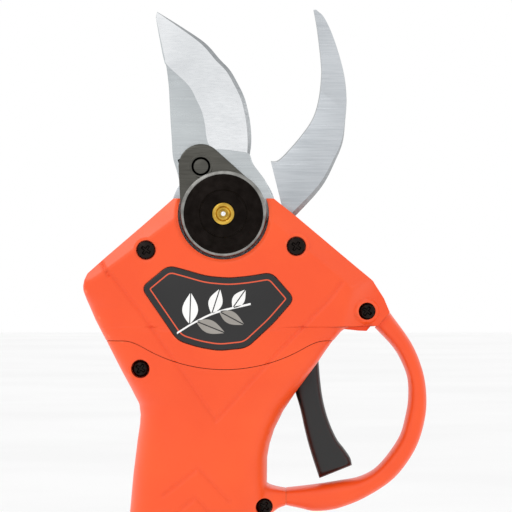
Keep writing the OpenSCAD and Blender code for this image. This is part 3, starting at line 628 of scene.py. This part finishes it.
def seam_block(gap):
    """All that lies above the seam, moved up by gap."""
    x = np.linspace(-80, 80, 161)
    outline = np.concatenate([np.stack([x, seam_height(x) + gap], 1), [(80, 60), (-80, 60)]])
    return slab(outline, -40, 40)


def bar(at, radius, front, back, steps=48):
    return slab(circle(radius, at, steps), front, back)


def box(x0, x1, y0, y1, z0, z1):
    return slab([(x0, z0), (x1, z0), (x1, z1), (x0, z1)], y0, y1)


def lug():
    """The short arm that meets the guard's lower end: superellipse rings from inside the handle
    to the seam, which shrink as x grows."""
    rows = np.array([(4, -97, -84, 12), (9, -104, -81.5, 12.5), (12, -100.5, -84, 11),
        (13.6, -97.6, -85.6, 9.6), (15.2, -95.6, -86.5, 8.6), (17.4, -93.9, -87.1, 7.8),
        (19.8, -92.9, -87.5, 7.4)])
    rows = smooth(rows, 30)
    a = np.linspace(0, 2 * math.pi, 48, endpoint=False)
    c, s = np.sign(np.cos(a)) * np.abs(np.cos(a))**0.6, np.sign(np.sin(a)) * np.abs(np.sin(a))**0.6
    mid, half = (rows[:, 1] + rows[:, 2]) / 2, (rows[:, 2] - rows[:, 1]) / 2
    z = mid[:, None] + half[:, None] * c
    y = rows[:, 3:4] * s
    return tube(np.stack([rows[:, :1] + 0 * z, y, z], -1))


def screw_parts(at, top, radius):
    """A pan head: height falls as the square of the radius and then as a quarter circle at the
    rim, and a cross is sunk where either arm's width covers the place."""
    r = np.concatenate([np.linspace(0.02, radius - 0.5, 26),
        radius - 0.5 + 0.5 * np.sin(np.linspace(0.2, math.pi / 2, 7))])[:, None]
    a = np.linspace(0, 2 * math.pi, 96, endpoint=False)[None, :]
    dome = 0.35 * (r / radius)**2 + 0.5 * (1 - np.sqrt(np.maximum(
        1 - (np.maximum(r - radius + 0.5, 0) / 0.5)**2, 0)))
    turn = a + 0.6
    u, v = np.abs(r * np.cos(turn)), np.abs(r * np.sin(turn))
    arm = np.minimum(u, v)
    reach = np.maximum(u, v)
    sunk = (1 - step(0.25, 0.5, arm)) * (1 - step(1.25, 1.75, reach))
    y = top + dome + 1.0 * sunk * (1 - 0.35 * reach / radius)
    x, z = at[0] + r * np.cos(a), at[1] + r * np.sin(a)
    head = np.stack([x, y, z], -1)
    foot = np.stack([x[-1], np.full(96, top + 2.2), z[-1]], -1)
    shank = [np.stack([at[0] + 1.5 * np.cos(a[0]), np.full(96, y_), at[1] + 1.5 * np.sin(a[0])], -1)
        for y_ in (top + 2.2, top + 12)]
    return tube(np.concatenate([head, [foot], shank]))


# ---- Properties ----

class PRUNER_PG_sizes(bpy.types.PropertyGroup):
    """Sizes in millimetres."""
    wall: bpy.props.FloatProperty(name="Wall", description="Wall of the moulded shells",
        default=2.3, min=1.8, max=2.6)
    notch_radius: bpy.props.FloatProperty(name="Notch radius",
        description="Radius of the cover's notch round the pivot disc", default=14.4, min=14.0,
        max=15.0)
    groove_width: bpy.props.FloatProperty(name="Groove half width",
        description="Half the width of the V groove and the chevrons", default=1.05, min=0.6,
        max=1.6)
    groove_depth: bpy.props.FloatProperty(name="Groove depth",
        description="Depth of the V groove and the chevrons", default=0.5, min=0.2, max=0.9)
    guard_depth: bpy.props.FloatProperty(name="Guard half depth",
        description="Half of the guard's depth, front to back", default=7.4, min=6.0, max=8.0)
    edge_round: bpy.props.FloatProperty(name="Edge rounding",
        description="Rounding of the steel parts' edges", default=0.35, min=0.1, max=0.6)


class PRUNER_PG_colours(bpy.types.PropertyGroup):
    """Colours of the main finishes."""
    orange: bpy.props.FloatVectorProperty(name="Orange", description="Colour of the body",
        subtype="COLOR", size=4, default=linear("#f55516"), min=0, max=1)
    black: bpy.props.FloatVectorProperty(name="Black", description="Colour of the black mouldings",
        subtype="COLOR", size=4, default=linear("#141211"), min=0, max=1)
    steel: bpy.props.FloatVectorProperty(name="Steel", description="Colour of the ground steel",
        subtype="COLOR", size=4, default=linear("#c3c8ca"), min=0, max=1)


class StepOperator(bpy.types.Operator):
    """What every step of the build shares."""
    bl_options = {"REGISTER", "UNDO"}

    def execute(self, context):
        """Runs the step, which raises an error where it can't finish."""
        self.build(context.scene.pruner_sizes, context.scene.pruner_colours)
        return {"FINISHED"}


class PRUNER_OT_finishes(StepOperator):
    """Makes every finish and gives the carried-over CAD nodes theirs"""
    bl_idname = "pruner.finishes"
    bl_label = "Finishes"

    def build(self, sizes, colours):
        finishes(colours)
        for name, nodes in NODE_FINISH.items():
            for each in nodes:
                slots = frame["nodes"][each].data.materials
                for k in range(len(slots)):
                    slots[k] = of(name)
                if not slots:
                    slots.append(of(name))


class PRUNER_OT_head(StepOperator):
    """Moulds the two head covers"""
    bl_idname = "pruner.head"
    bl_label = "Head covers"

    def build(self, sizes, colours):
        levels = np.concatenate([np.linspace(-50.5, -37.4, 32), [-37, -36.5, -36.1, -35.8, -35.62],
            np.linspace(-35.5, 4.9, 92)])
        tool = [box(12, 42, -6.2, 6.2, -64, -39.5)]
        cover = shell("head_cover_front", -1, levels, 221, sizes)
        carve(cover, "INTERSECT", [seam_block(0.1)])
        carve(cover, "UNION", [bar(at, 4, -18, -12) for at in HEAD_SCREWS])
        r = sizes.notch_radius
        hook = np.array(HOOK_INNER[:4] + [(30, 22)] + HOOK_OUTER[3::-1] + [(8, -8), (8, 8)], float)
        carve(cover, "DIFFERENCE", [bar((0, 0), r, -30, -12, 128), bar((0, 0), 18.9, -12.1, -8.2, 96),
            bar((0, 0), 17.3, HOOK_FRONT - 0.5, HOOK_BACK + 0.5, 96),
            slab(moved_in(hook, -0.5), HOOK_FRONT - 0.5, HOOK_BACK + 0.5),
            bar((0, 0), 15.8, -12.05, 4, 96),
            slab(moved_in(rounded_corners(PLATE_OUTLINE, 2.4), -0.2), -30, -BODY_HALF + 1.2)]
            + tool + [bar(at, 3.1, -30, -BODY_HALF + 2.7) for at in HEAD_SCREWS]
            + [bar(GUARD_SCREWS[0], 2.75, -30, -8.6)])
        finish(cover, of("orange_nylon"), "tool", ["front_head_cover"])
        back = shell("head_cover_rear", 1, levels, 181, sizes)
        carve(back, "INTERSECT", [seam_block(0.1)])
        carve(back, "DIFFERENCE", tool + [bar((0, 0), 15.8, -4, 16.4, 96)])
        finish(back, of("orange_nylon"), "tool", ["rear_head_cover"])


class PRUNER_OT_handle(StepOperator):
    """Moulds the two handle shells, with the lug for the guard"""
    bl_idname = "pruner.handle"
    bl_label = "Handle shells"

    def build(self, sizes, colours):
        levels = np.linspace(-146, -36.5, 250)
        end = leant(box(-60, 60, -40, 40, -HANDLE_END - 30, -HANDLE_END))
        slot = box(12, 42, -6.2, 6.2, -64, -39.5)
        for name, side, node in (("handle_shell_front", -1, "handle_front_shell"),
                ("handle_shell_rear", 1, "handle_rear_shell")):
            made = shell(name, side, levels, 121, sizes)
            arm = put("lug", mesh_of("lug", [lug()]))
            carve(arm, "INTERSECT", [box(-10, 40, -20, -0.08, -120, -60) if side < 0
                else box(-10, 40, 0.08, 20, -120, -60)])
            join = made.modifiers.new("lug", "BOOLEAN")
            join.operation, join.solver, join.object = "UNION", "MANIFOLD", arm
            settled(made)
            bpy.data.objects.remove(arm)
            if side < 0:
                carve(made, "UNION", [bar(at, 3.8, -16.5, -9) for at in HANDLE_SCREWS])
            cuts = [seam_block(-0.1), end, slot]
            if side < 0:
                cuts += [bar(at, 2.95, -30, -12.7) for at in HANDLE_SCREWS]
                cuts += [bar(GUARD_SCREWS[1], 2.75, -30, -6.3)]
                cuts += [leant(bar((0, -112), 5.9, -30, -10)), leant(bar((0, -125), 1.6, -30, -10))]
            carve(made, "DIFFERENCE", cuts)
            finish(made, of("orange_nylon"), "tool", [node])


class PRUNER_OT_guard(StepOperator):
    """Sweeps the finger guard between its two edges"""
    bl_idname = "pruner.guard"
    bl_label = "Finger guard"

    def build(self, sizes, colours):
        # each ring is a superellipse whose long axis runs front to back and whose short one
        # joins the inner edge to the outer edge
        inner, outer = smooth(GUARD_INNER, 150), smooth(GUARD_OUTER, 150)
        a = np.linspace(0, 2 * math.pi, 64, endpoint=False)
        c = np.sign(np.cos(a)) * np.abs(np.cos(a))**0.72
        s = np.sign(np.sin(a)) * np.abs(np.sin(a))**0.72
        mid, reach = (inner + outer)[:, None] / 2, (outer - inner)[:, None] / 2
        flat = mid + reach * c[None, :, None]
        depth = sizes.guard_depth * s[None, :] + 0 * flat[..., 0]
        rings = np.stack([flat[..., 0], depth, flat[..., 1]], -1)
        guard = put("finger_guard", mesh_of("finger_guard", [tube(rings)]))
        finish(guard, of("orange_nylon"), "tool", ["guard_bow"], 50)


class PRUNER_OT_blades(StepOperator):
    """Grinds the moving blade and the hook blade"""
    bl_idname = "pruner.blades"
    bl_label = "Blades"

    def build(self, sizes, colours):
        edge, grind, spine = (smooth(line, 90) for line in (BLADE_EDGE, BLADE_GRIND, BLADE_SPINE))
        t = np.linspace(0, 1, 90)[:, None]
        back, thick = BLADE_BACK, BLADE_BACK - BLADE_FRONT
        full = thick * np.interp(t, [0, 0.72, 0.9, 1], [1, 1, 0.75, 0.3])

        def along(a, b, share):
            return a + (b - a) * share

        # the ring round the blade: thin edge, narrow second bevel, grind line, rounded spine
        second = along(edge, grind, 0.085)
        stations = [(edge, back - 0.12 + 0 * t), (second, back - 0.3 - 0.22 * full),
            (along(edge, grind, 0.98), back - full + 0.03), (grind, back - full),
            (along(grind, spine, 0.9), back - full), (along(grind, spine, 0.985),
            back - full + 0.12), (spine, back - full + 0.3), (spine, back - 0.15 * full),
            (along(spine, edge, 0.01), back + 0 * t), (along(spine, edge, 0.99), back + 0 * t)]
        rings = np.stack([np.stack([p[:, 0], y[:, 0], p[:, 1]], -1) for p, y in stations], 1)
        root = slab(rounded_corners(BLADE_ROOT, 1.5), BLADE_FRONT, back, sizes.edge_round)
        made = piece("blade", [tube(rings), root], [of("flat_ground_steel"),
            of("bevel_ground_steel"), of("edge_steel_painted_shade")], "blade", "blade_steel",
            ["moving_blade"], 20)
        # the bevel's faces are the first two spans of each ring
        place = np.tile(np.arange(10), 89)
        choice = np.zeros(len(made.data.polygons), int)
        # span 0, the narrow second bevel, takes the darker steel as painted shade; span 1 takes the
        # bright bevel steel
        choice[:890] = np.where(place == 1, 1, np.where(place == 0, 2, 0))
        made.data.polygons.foreach_set("material_index", choice)

        inner, outer = smooth(HOOK_INNER, 90), smooth(HOOK_OUTER, 90)
        front, rear = HOOK_FRONT, HOOK_BACK
        # how far in from the outer edge the outer chamfer starts; that chamfer is painted darker as
        # painted shade
        strip = np.interp(t, [0, 0.1, 0.3, 0.5, 1], [0.09, 0.09, 0.06, 0.02, 0.03])
        stations = [(inner, front + 1.4 + 0 * t), (along(inner, outer, 0.025), front + 0.05 + 0 * t),
            (along(inner, outer, 0.04), front + 0 * t),
            (outer + (inner - outer) * strip, front + 0 * t), (outer, front + 1.3 + 0 * t),
            (outer, rear - 0.3 + 0 * t), (along(outer, inner, 0.02), rear + 0 * t),
            (along(inner, outer, 0.02), rear + 0 * t), (inner, rear - 0.3 + 0 * t)]
        rings = np.stack([np.stack([p[:, 0], y[:, 0], p[:, 1]], -1) for p, y in stations], 1)
        eye = slab(circle(16.8, steps=128), front, rear, 0.3)
        made = piece("hook_blade", [tube(rings), eye], [of("brushed_steel"), of("edge_steel_painted_shade")],
            "tool", "hook_steel", ["fixed_blade"], 20)
        place = np.tile(np.arange(9), 89)
        choice = np.zeros(len(made.data.polygons), int)
        # spans 0 and 3, the chamfers of the inner and outer edges, take the darker steel as painted
        # shade
        choice[:801] = np.isin(place, (0, 3))
        made.data.polygons.foreach_set("material_index", choice)


class PRUNER_OT_pivot(StepOperator):
    """Turns the pivot's parts: drive plate, pin, washer, cap, grease nipple and its ball"""
    bl_idname = "pruner.pivot"
    bl_label = "Pivot"

    def build(self, sizes, colours):
        # the drive plate's outline is the hull of two circles, joined by their outer tangents
        gap, big, small = math.hypot(*PIN_AT), 13.5, 7.1
        lean_, spread = math.atan2(PIN_AT[1], PIN_AT[0]), math.acos((big - small) / gap)
        a = np.linspace(lean_ + spread, lean_ - spread + 2 * math.pi, 72)
        b = np.linspace(lean_ - spread, lean_ + spread, 40)
        outline = np.concatenate([
            np.stack([big * np.cos(a), big * np.sin(a)], 1),
            np.stack([PIN_AT[0] + small * np.cos(b), PIN_AT[1] + small * np.sin(b)], 1)])
        front = CARRIER_FRONT
        piece("drive_plate", [slab(outline, front, BLADE_FRONT, 0.6)], of("black_oxide_steel"),
            "blade", "dark_steel", ["blade_carrier"], 50)
        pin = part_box("drive_pin")
        radius = (pin[1].x - pin[0].x) * 500
        piece("drive_pin_head", [revolve([(0.01, front - 0.12), (radius - 0.7, front - 0.12),
            (radius - 0.35, front + 0.02), (radius - 0.3, front + 0.1), (radius, front + 0.1),
            (radius, back_of("drive_pin")), (0.01, back_of("drive_pin"))], PIN_AT, 64),
            revolve([(radius + 0.25, front - 0.02), (radius + 0.75, front - 0.16),
            (radius + 0.95, front - 0.02), (radius + 0.95, front + 0.3), (radius + 0.25, front + 0.3),
            (radius + 0.25, front - 0.02)], PIN_AT, 64)],
            of("black_oxide_steel"), "blade", "dark_steel", ["drive_pin"], 40)
        washer = WASHER_FRONT
        piece("washer_rim", [revolve([(6.1, washer), (12.9, washer), (13.4, washer + 0.08),
            (13.65, washer + 0.3), (13.7, washer + 0.6), (13.7, front - 0.1), (13.5, front),
            (6.1, front)])], of("turned_steel"), "blade", "machined_steel", ["rim_washer"], 40)
        cap = front_of("pivot_cap")
        q = np.linspace(0, math.pi / 2, 6)
        lip = [(7.75 - 0.35 * math.sin(k), cap + 0.35 * (1 - math.cos(k))) for k in q]
        piece("cap", [revolve([(4.5, washer)] + [(12.6 - 0.3 * (1 - math.cos(k)),
            washer - 0.6 + 0.3 * (1 - math.sin(k))) for k in q] + [(8.2, cap + 0.05)] + lip
            + [(7.38, cap + 0.65), (7.2, cap + 0.7), (4.5, cap + 0.7)])],
            of("black_anodised_cap"), "blade", "black_metal", ["pivot_cap"], 40)
        nip = front_of("grease_nipple")
        piece("nipple", [revolve([(1.25, nip + 2.4), (3.5, nip + 2.4), (3.5, nip + 0.45),
            (3.4, nip + 0.15), (3.15, nip), (2.7, nip), (2.45, nip + 0.15), (2.2, nip + 0.5),
            (1.9, nip + 0.25), (1.6, nip + 0.1), (1.4, nip + 0.25), (1.25, nip + 0.7)])],
            of("machined_brass"), "blade", "brass", ["grease_nipple"], 40)
        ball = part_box("nipple_ball")
        y = (ball[0].y + ball[1].y) * 500
        h = np.linspace(0.02, math.pi - 0.02, 24)
        piece("ball", [revolve([(1.15 * math.sin(k), y - 1.15 * math.cos(k)) for k in h], steps=48)],
            of("polished_steel"), "blade", "machined_steel", ["nipple_ball"], 60)


class PRUNER_OT_screws(StepOperator):
    """Makes the pan head screws of the head, the handle and the guard"""
    bl_idname = "pruner.screws"
    bl_label = "Screws"

    def build(self, sizes, colours):
        for name, places, node, radius in (("screws_head", HEAD_SCREWS, "head_screws", 2.8),
                ("screws_handle", HANDLE_SCREWS, "handle_screws", 2.6)):
            top = front_of(node)
            piece(name, [screw_parts(at, top, radius) for at in places], of("black_zinc_screw"),
                "tool", "screw_black", [node], 45)
        piece("screws_guard", [screw_parts(GUARD_SCREWS[0], front_of("guard_screws"), 2.6),
            screw_parts(GUARD_SCREWS[1], -8.6, 2.5)], of("black_zinc_screw"), "tool",
            "screw_black", ["guard_screws"], 45)


class PRUNER_OT_nameplate(StepOperator):
    """Makes the label with its printed line and a plain sprig of leaves"""
    bl_idname = "pruner.nameplate"
    bl_label = "Nameplate"

    def build(self, sizes, colours):
        outline = rounded_corners(PLATE_OUTLINE, 2.4)
        y = PLATE_FRONT
        piece("label", [slab(outline, y, y + 1.1, 0.3)], of("label_film"), "tool", "nameplate",
            ["nameplate"], 50)
        a, b = moved_in(outline, 1.8), moved_in(outline, 2.2)
        rings = np.stack([np.insert(p, 1, v, axis=1) for p, v in
            ((a, y + 0.02), (a, y - 0.05), (b, y - 0.05), (b, y + 0.02))], 1)
        rings = np.concatenate([rings, rings[:1]])
        count, around = rings.shape[:2]
        points, quads, _ = outwards(rings[:-1].reshape(-1, 3), grid_quads(count, around, True)
            % ((count - 1) * around))
        piece("label_line", [(points, quads, [])], of("orange_ink"), "tool", "nameplate")

        def leaf(x, z, angle, length, width):
            """Two arcs from stalk to tip: half width w sin(pi t) (1 - 0.35 t) each side of the
            vein, and a narrow vein left bare."""
            t = np.linspace(0.02, 1, 22)
            w = width * np.sin(math.pi * t) * (1.15 - 0.4 * t)
            c, s = math.cos(math.radians(angle)), math.sin(math.radians(angle))
            halves = []
            for sign in (-1, 1):
                u = np.concatenate([t * length, t[::-1] * length])
                v = np.concatenate([sign * (0.18 + w), np.full(22, sign * 0.18)])
                flat = np.stack([x + u * c - v * s, z + u * s + v * c], 1)
                halves.append(slab(flat, y - 0.06, y + 0.02))
            return halves

        stem = smooth([(-14.6, -37.6), (-9, -34.2), (-2, -31), (8.6, -28.4)], 24)
        line = np.concatenate([stem + (0, 0.32), stem[::-1] - (0, 0.32)])
        white = leaf(-10.6, -34.6, 88, 9.6, 2.4) + leaf(-3.6, -31.4, 72, 8, 2.1) + leaf(
            3.0, -29.6, 55, 6.8, 1.8)
        grey = leaf(-8.4, -33.9, -22, 9.4, 2) + leaf(-1.2, -30.8, -28, 8.6, 1.9)
        piece("emblem_white", white + [slab(line, y - 0.06, y + 0.02)], of("white_ink"), "tool",
            "nameplate")
        piece("emblem_grey", grey, of("grey_ink"), "tool", "nameplate")


class PRUNER_OT_trigger(StepOperator):
    """Sweeps the trigger between its front and back edges"""
    bl_idname = "pruner.trigger"
    bl_label = "Trigger"

    def build(self, sizes, colours):
        # the ring is a rounded box; its front has a ridge a little proud at the middle
        front, back = smooth(TRIGGER_FRONT, 80), smooth(TRIGGER_BACK, 80)
        ends = np.linspace(0, 1, 80)
        shrink = np.sqrt(np.clip(1 - (np.clip(ends - 0.955, 0, 1) / 0.045)**2, 0.04, 1))
        a = np.linspace(0, 2 * math.pi, 64, endpoint=False)
        c = np.sign(np.cos(a)) * np.abs(np.cos(a))**0.5
        s = np.sign(np.sin(a)) * np.abs(np.sin(a))**0.5
        ridge = 0.05 * np.clip(c, 0, 1) * np.cos(np.clip(s, -1, 1) * math.pi / 2)
        width = 5.45 * shrink
        mid, reach = (front + back)[:, None] / 2, (front - back)[:, None] / 2 * 0.97
        flat = mid + reach * (c + ridge)[None, :, None]
        depth = width[:, None] * s[None, :]
        rings = np.stack([flat[..., 0], depth, flat[..., 1]], -1)
        piece("trigger_lever", [tube(rings)], of("black_nylon"), "trigger", "black_plastic",
            ["trigger"], 60)


class PRUNER_OT_controls(StepOperator):
    """Makes the power button and the status light's lens"""
    bl_idname = "pruner.controls"
    bl_label = "Button and light"

    def build(self, sizes, colours):
        top = front_of("power_button")
        piece("button", [leant(revolve([(0.02, top + 0.5), (2.5, top + 0.42), (4.2, top + 0.1),
            (4.9, top), (5.25, top + 0.12), (5.5, top + 0.6), (5.5, top + 4.3), (6.9, top + 4.3),
            (6.9, top + 5.2), (0.02, top + 5.2)], (0, -112), 72))], of("red_abs"), "power_button",
            "red_plastic", ["power_button"], 40)
        light = front_of("status_light")
        piece("light_lens", [leant(revolve([(0.02, light), (0.8, light + 0.08), (1.3, light + 0.35),
            (1.5, light + 0.8), (1.5, light + 5.8), (0.02, light + 5.8)], (0, -125), 40))],
            of("clear_acrylic"), "tool", "clear_plastic", ["status_light"], 60)


class PRUNER_OT_battery(StepOperator):
    """Lofts the battery's case and base, and its latch"""
    bl_idname = "pruner.battery"
    bl_label = "Battery"

    def build(self, sizes, colours):
        base_low, base_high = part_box("battery_base")
        wide, deep = (base_high.x - base_low.x) * 500, (base_high.y - base_low.y) * 500
        floor, top = -PIVOT[2] * 1000, -HANDLE_END - 0.6
        foot = np.array([-PIVOT[0] * 1000, 0, floor])

        def ring(share, drop, shrink, steps=16):
            """A rounded rectangle that goes from the pack's top, leaning with the handle, to the
            upright base as share goes from 0 to 1, sunk by drop and drawn in by shrink."""
            w, d = 22 + (wide - 22) * share - shrink, 21 + (deep - 21) * share - shrink
            corner = 9 - shrink * 0.6
            q = np.linspace(0, math.pi / 2, steps)
            arc = np.stack([w - corner + corner * np.cos(q), d - corner + corner * np.sin(q)], 1)
            four = np.concatenate([arc, (arc * (-1, 1))[::-1], arc * (-1, -1), (arc * (1, -1))[::-1]])
            head = leaning(np.stack([four[:, 0], four[:, 1], np.full(len(four), top - drop)], 1))
            low = foot + np.stack([four[:, 0], four[:, 1], np.full(len(four), drop)], 1)
            return head, low

        def loft(rows):
            rings = []
            for share, head_drop, lift, shrink in rows:
                head, _ = ring(share, head_drop, shrink)
                _, low = ring(share, lift, shrink)
                rings.append(head + (low - head) * min(1, share))
            return tube(np.array(rings))

        outer = loft([(0, 1.4 * (1 - math.sin(k)), 0, 1.4 * (1 - math.cos(k))) for k in
            np.linspace(math.pi / 2, 0, 6)] + [(0, 8, 0, 0)]
            + [(t, 8, 14.25, 0) for t in np.linspace(0.08, 1, 14)])
        inner = loft([(0, 2.4, 0, 2.2), (0, 8, 0, 2.2)] + [(t, 8, 14.25, 2.2)
            for t in np.linspace(0.1, 1, 8)] + [(1, 8, 13, 2.2)])
        case = put("pack_case", mesh_of("pack_case", [outer]))
        window = leant(box(-8.4, 8.4, -30, -14.8, -149.7, -142.9))
        carve(case, "DIFFERENCE", [inner, window])
        tongue = leant(box(-16, 16, -11.5, 11.5, top - 3, -131))
        slots = [leant(box(x - 1.5, x + 1.5, -3.4, 3.4, -146, -130)) for x in (-10, 0, 10)]
        carve(case, "UNION", [tongue])
        carve(case, "DIFFERENCE", slots)
        finish(case, of("black_nylon"), "battery", ["battery_case"], 30)

        low = loft([(1, 0, 13.75 - 0.5 * k, 0.6 * (1 - k)) for k in (0.0, 1.0)] + [(1, 0, 2, 0)]
            + [(1, 0, 1.6 * (1 - math.sin(k)), 1.6 * (1 - math.cos(k))) for k in
            np.linspace(0.1, math.pi / 2, 6)])
        base = put("pack_base", mesh_of("pack_base", [low]))
        hollow = loft([(1, 0, 20, 2.2), (1, 0, 2.4, 2.2)])
        feet = [outwards(*[v for v in tube(np.stack([np.stack([foot[0] + x * 26.2 + r * np.cos(w),
            y * 18.2 + r * np.sin(w), np.full(40, floor + h)], 1) for r, h in ((2.2, -1), (2.2, 1.4),
            (1.2, 1.4), (1.2, 4))]))]) for x in (-1, 1) for y in (-1, 1)
            for w in [np.linspace(0, 2 * math.pi, 40, endpoint=False)]]
        ribs = [slab([(foot[0] - 26 + k * 13 - 1.1, floor + 4), (foot[0] - 26 + k * 13 + 1.1, floor + 4),
            (foot[0] - 26 + k * 13 + 1.1, floor + 11), (foot[0] - 26 + k * 13 - 1.1, floor + 11)],
            -deep - 2, -deep + 0.5) for k in range(5)]
        carve(base, "DIFFERENCE", [hollow] + feet + ribs)
        finish(base, of("black_nylon"), "battery", ["battery_base"], 30)

        latch_front = front_of("battery_latch")
        pad = rounded_corners([(-8, -149.4), (8, -149.4), (8, -143.2), (-8, -143.2)], 1.5)
        grips = [slab(rounded_corners([(-6, z - 0.45), (6, z - 0.45), (6, z + 0.45), (-6, z + 0.45)],
            0.4), latch_front, latch_front + 1.2, 0.3) for z in (-147.9, -146.3, -144.7)]
        parts = [slab(pad, latch_front + 0.5, -15.8, 0.5)] + grips + [box(-4, 4, -16.4, -15,
            -143.9, -133.5)]
        piece("latch", [leant(part) for part in parts], of("component_epoxy"), "latch",
            "black_plastic", ["battery_latch"], 40)


class PRUNER_OT_stage(StepOperator):
    """Sets the floor, the soft lights, the pale surround and the camera"""
    bl_idname = "pruner.stage"
    bl_label = "Stage"

    def build(self, sizes, colours):
        made, tree = blank("matt_white_paper")
        place = add(tree, "TexCoord")
        tone = varied(tree, (place, "Object"), linear("#fbfbfb"), linear("#f7f7f7"), 400)
        close(tree, add(tree, "BsdfPrincipled", {"Base Color": (tone, 2), "Roughness": 0.9}))
        mesh = bpy.data.meshes.new("floor")
        mesh.from_pydata([(x, y, -0.0005) for x, y in ((-6, -6), (6, -6), (6, 9), (-6, 9))], [],
            [(0, 1, 2, 3)])
        floor = put("floor", mesh)
        mesh.materials.append(made)
        world = bpy.data.worlds.new("pale_surround")
        world.use_nodes = True
        world.node_tree.nodes["Background"].inputs[0].default_value = (1, 1, 1, 1)
        world.node_tree.nodes["Background"].inputs[1].default_value = 1.0
        bpy.context.scene.world = world
        middle = np.array([PIVOT[0], 0, PIVOT[2] - 0.03])
        for name, toward, distance, size, power in (("key", (-0.62, 0.02, 0.76), 0.9, 0.5, 2.2),
                ("front", (-0.35, -1, 0.55), 1.3, 0.7, 1.2), ("right", (0.9, -0.35, 0.3), 1.2, 0.5, 0.6),
                ("rear", (0.2, 1, 0.6), 1.4, 0.8, 1.5)):
            data = bpy.data.lights.new(name, "AREA")
            data.size, data.energy = size, power
            lamp = bpy.data.objects.new(name, data)
            aim = np.array(toward) / np.linalg.norm(toward)
            lamp.location = middle + aim * distance
            lamp.rotation_euler = mathutils_track(aim)
            bpy.context.scene.collection.objects.link(lamp)
        data = bpy.data.cameras.new("camera")
        distance, field = 1.2, 0.16384
        data.sensor_width, data.lens = 36, 36 * distance / field
        data.clip_start, data.clip_end = 0.05, 50
        camera = bpy.data.objects.new("camera", data)
        camera.location = (PIVOT[0] + 0.0103, -distance, PIVOT[2] - 0.0133)
        camera.rotation_euler = (math.pi / 2, 0, 0)
        bpy.context.scene.collection.objects.link(camera)
        bpy.context.scene.camera = camera
        bpy.context.scene.view_settings.view_transform = "Standard"


def mathutils_track(aim):
    """The turn that points a lamp's -Z back along aim: tilt from the vertical, then round."""
    tilt = math.acos(aim[2])
    return (tilt, 0, math.atan2(aim[1], aim[0]) + math.pi / 2)


OPERATORS = (PRUNER_OT_finishes, PRUNER_OT_head, PRUNER_OT_handle, PRUNER_OT_guard,
    PRUNER_OT_blades, PRUNER_OT_pivot, PRUNER_OT_screws, PRUNER_OT_nameplate, PRUNER_OT_trigger,
    PRUNER_OT_controls, PRUNER_OT_battery, PRUNER_OT_stage)


class PRUNER_PT_panel(bpy.types.Panel):
    """Lists the steps of the build and their settings."""
    bl_idname = "PRUNER_PT_panel"
    bl_label = "Electric pruner"
    bl_space_type = "VIEW_3D"
    bl_region_type = "UI"
    bl_category = "Pruner"

    def draw(self, context):
        for group in (context.scene.pruner_sizes, context.scene.pruner_colours):
            for name in group.bl_rna.properties.keys():
                if name not in ("rna_type", "name"):
                    self.layout.prop(group, name)
        for each in OPERATORS:
            self.layout.operator(each.bl_idname)


CLASSES = (PRUNER_PG_sizes, PRUNER_PG_colours) + OPERATORS + (PRUNER_PT_panel,)


def register():
    for each in CLASSES:
        bpy.utils.register_class(each)
    bpy.types.Scene.pruner_sizes = bpy.props.PointerProperty(type=PRUNER_PG_sizes)
    bpy.types.Scene.pruner_colours = bpy.props.PointerProperty(type=PRUNER_PG_colours)


def unregister():
    del bpy.types.Scene.pruner_colours
    del bpy.types.Scene.pruner_sizes
    for each in reversed(CLASSES):
        bpy.utils.unregister_class(each)


def main():
    register()
    for each in OPERATORS:
        getattr(bpy.ops.pruner, each.bl_idname.split(".")[1])()


if __name__ == "__main__":
    main()
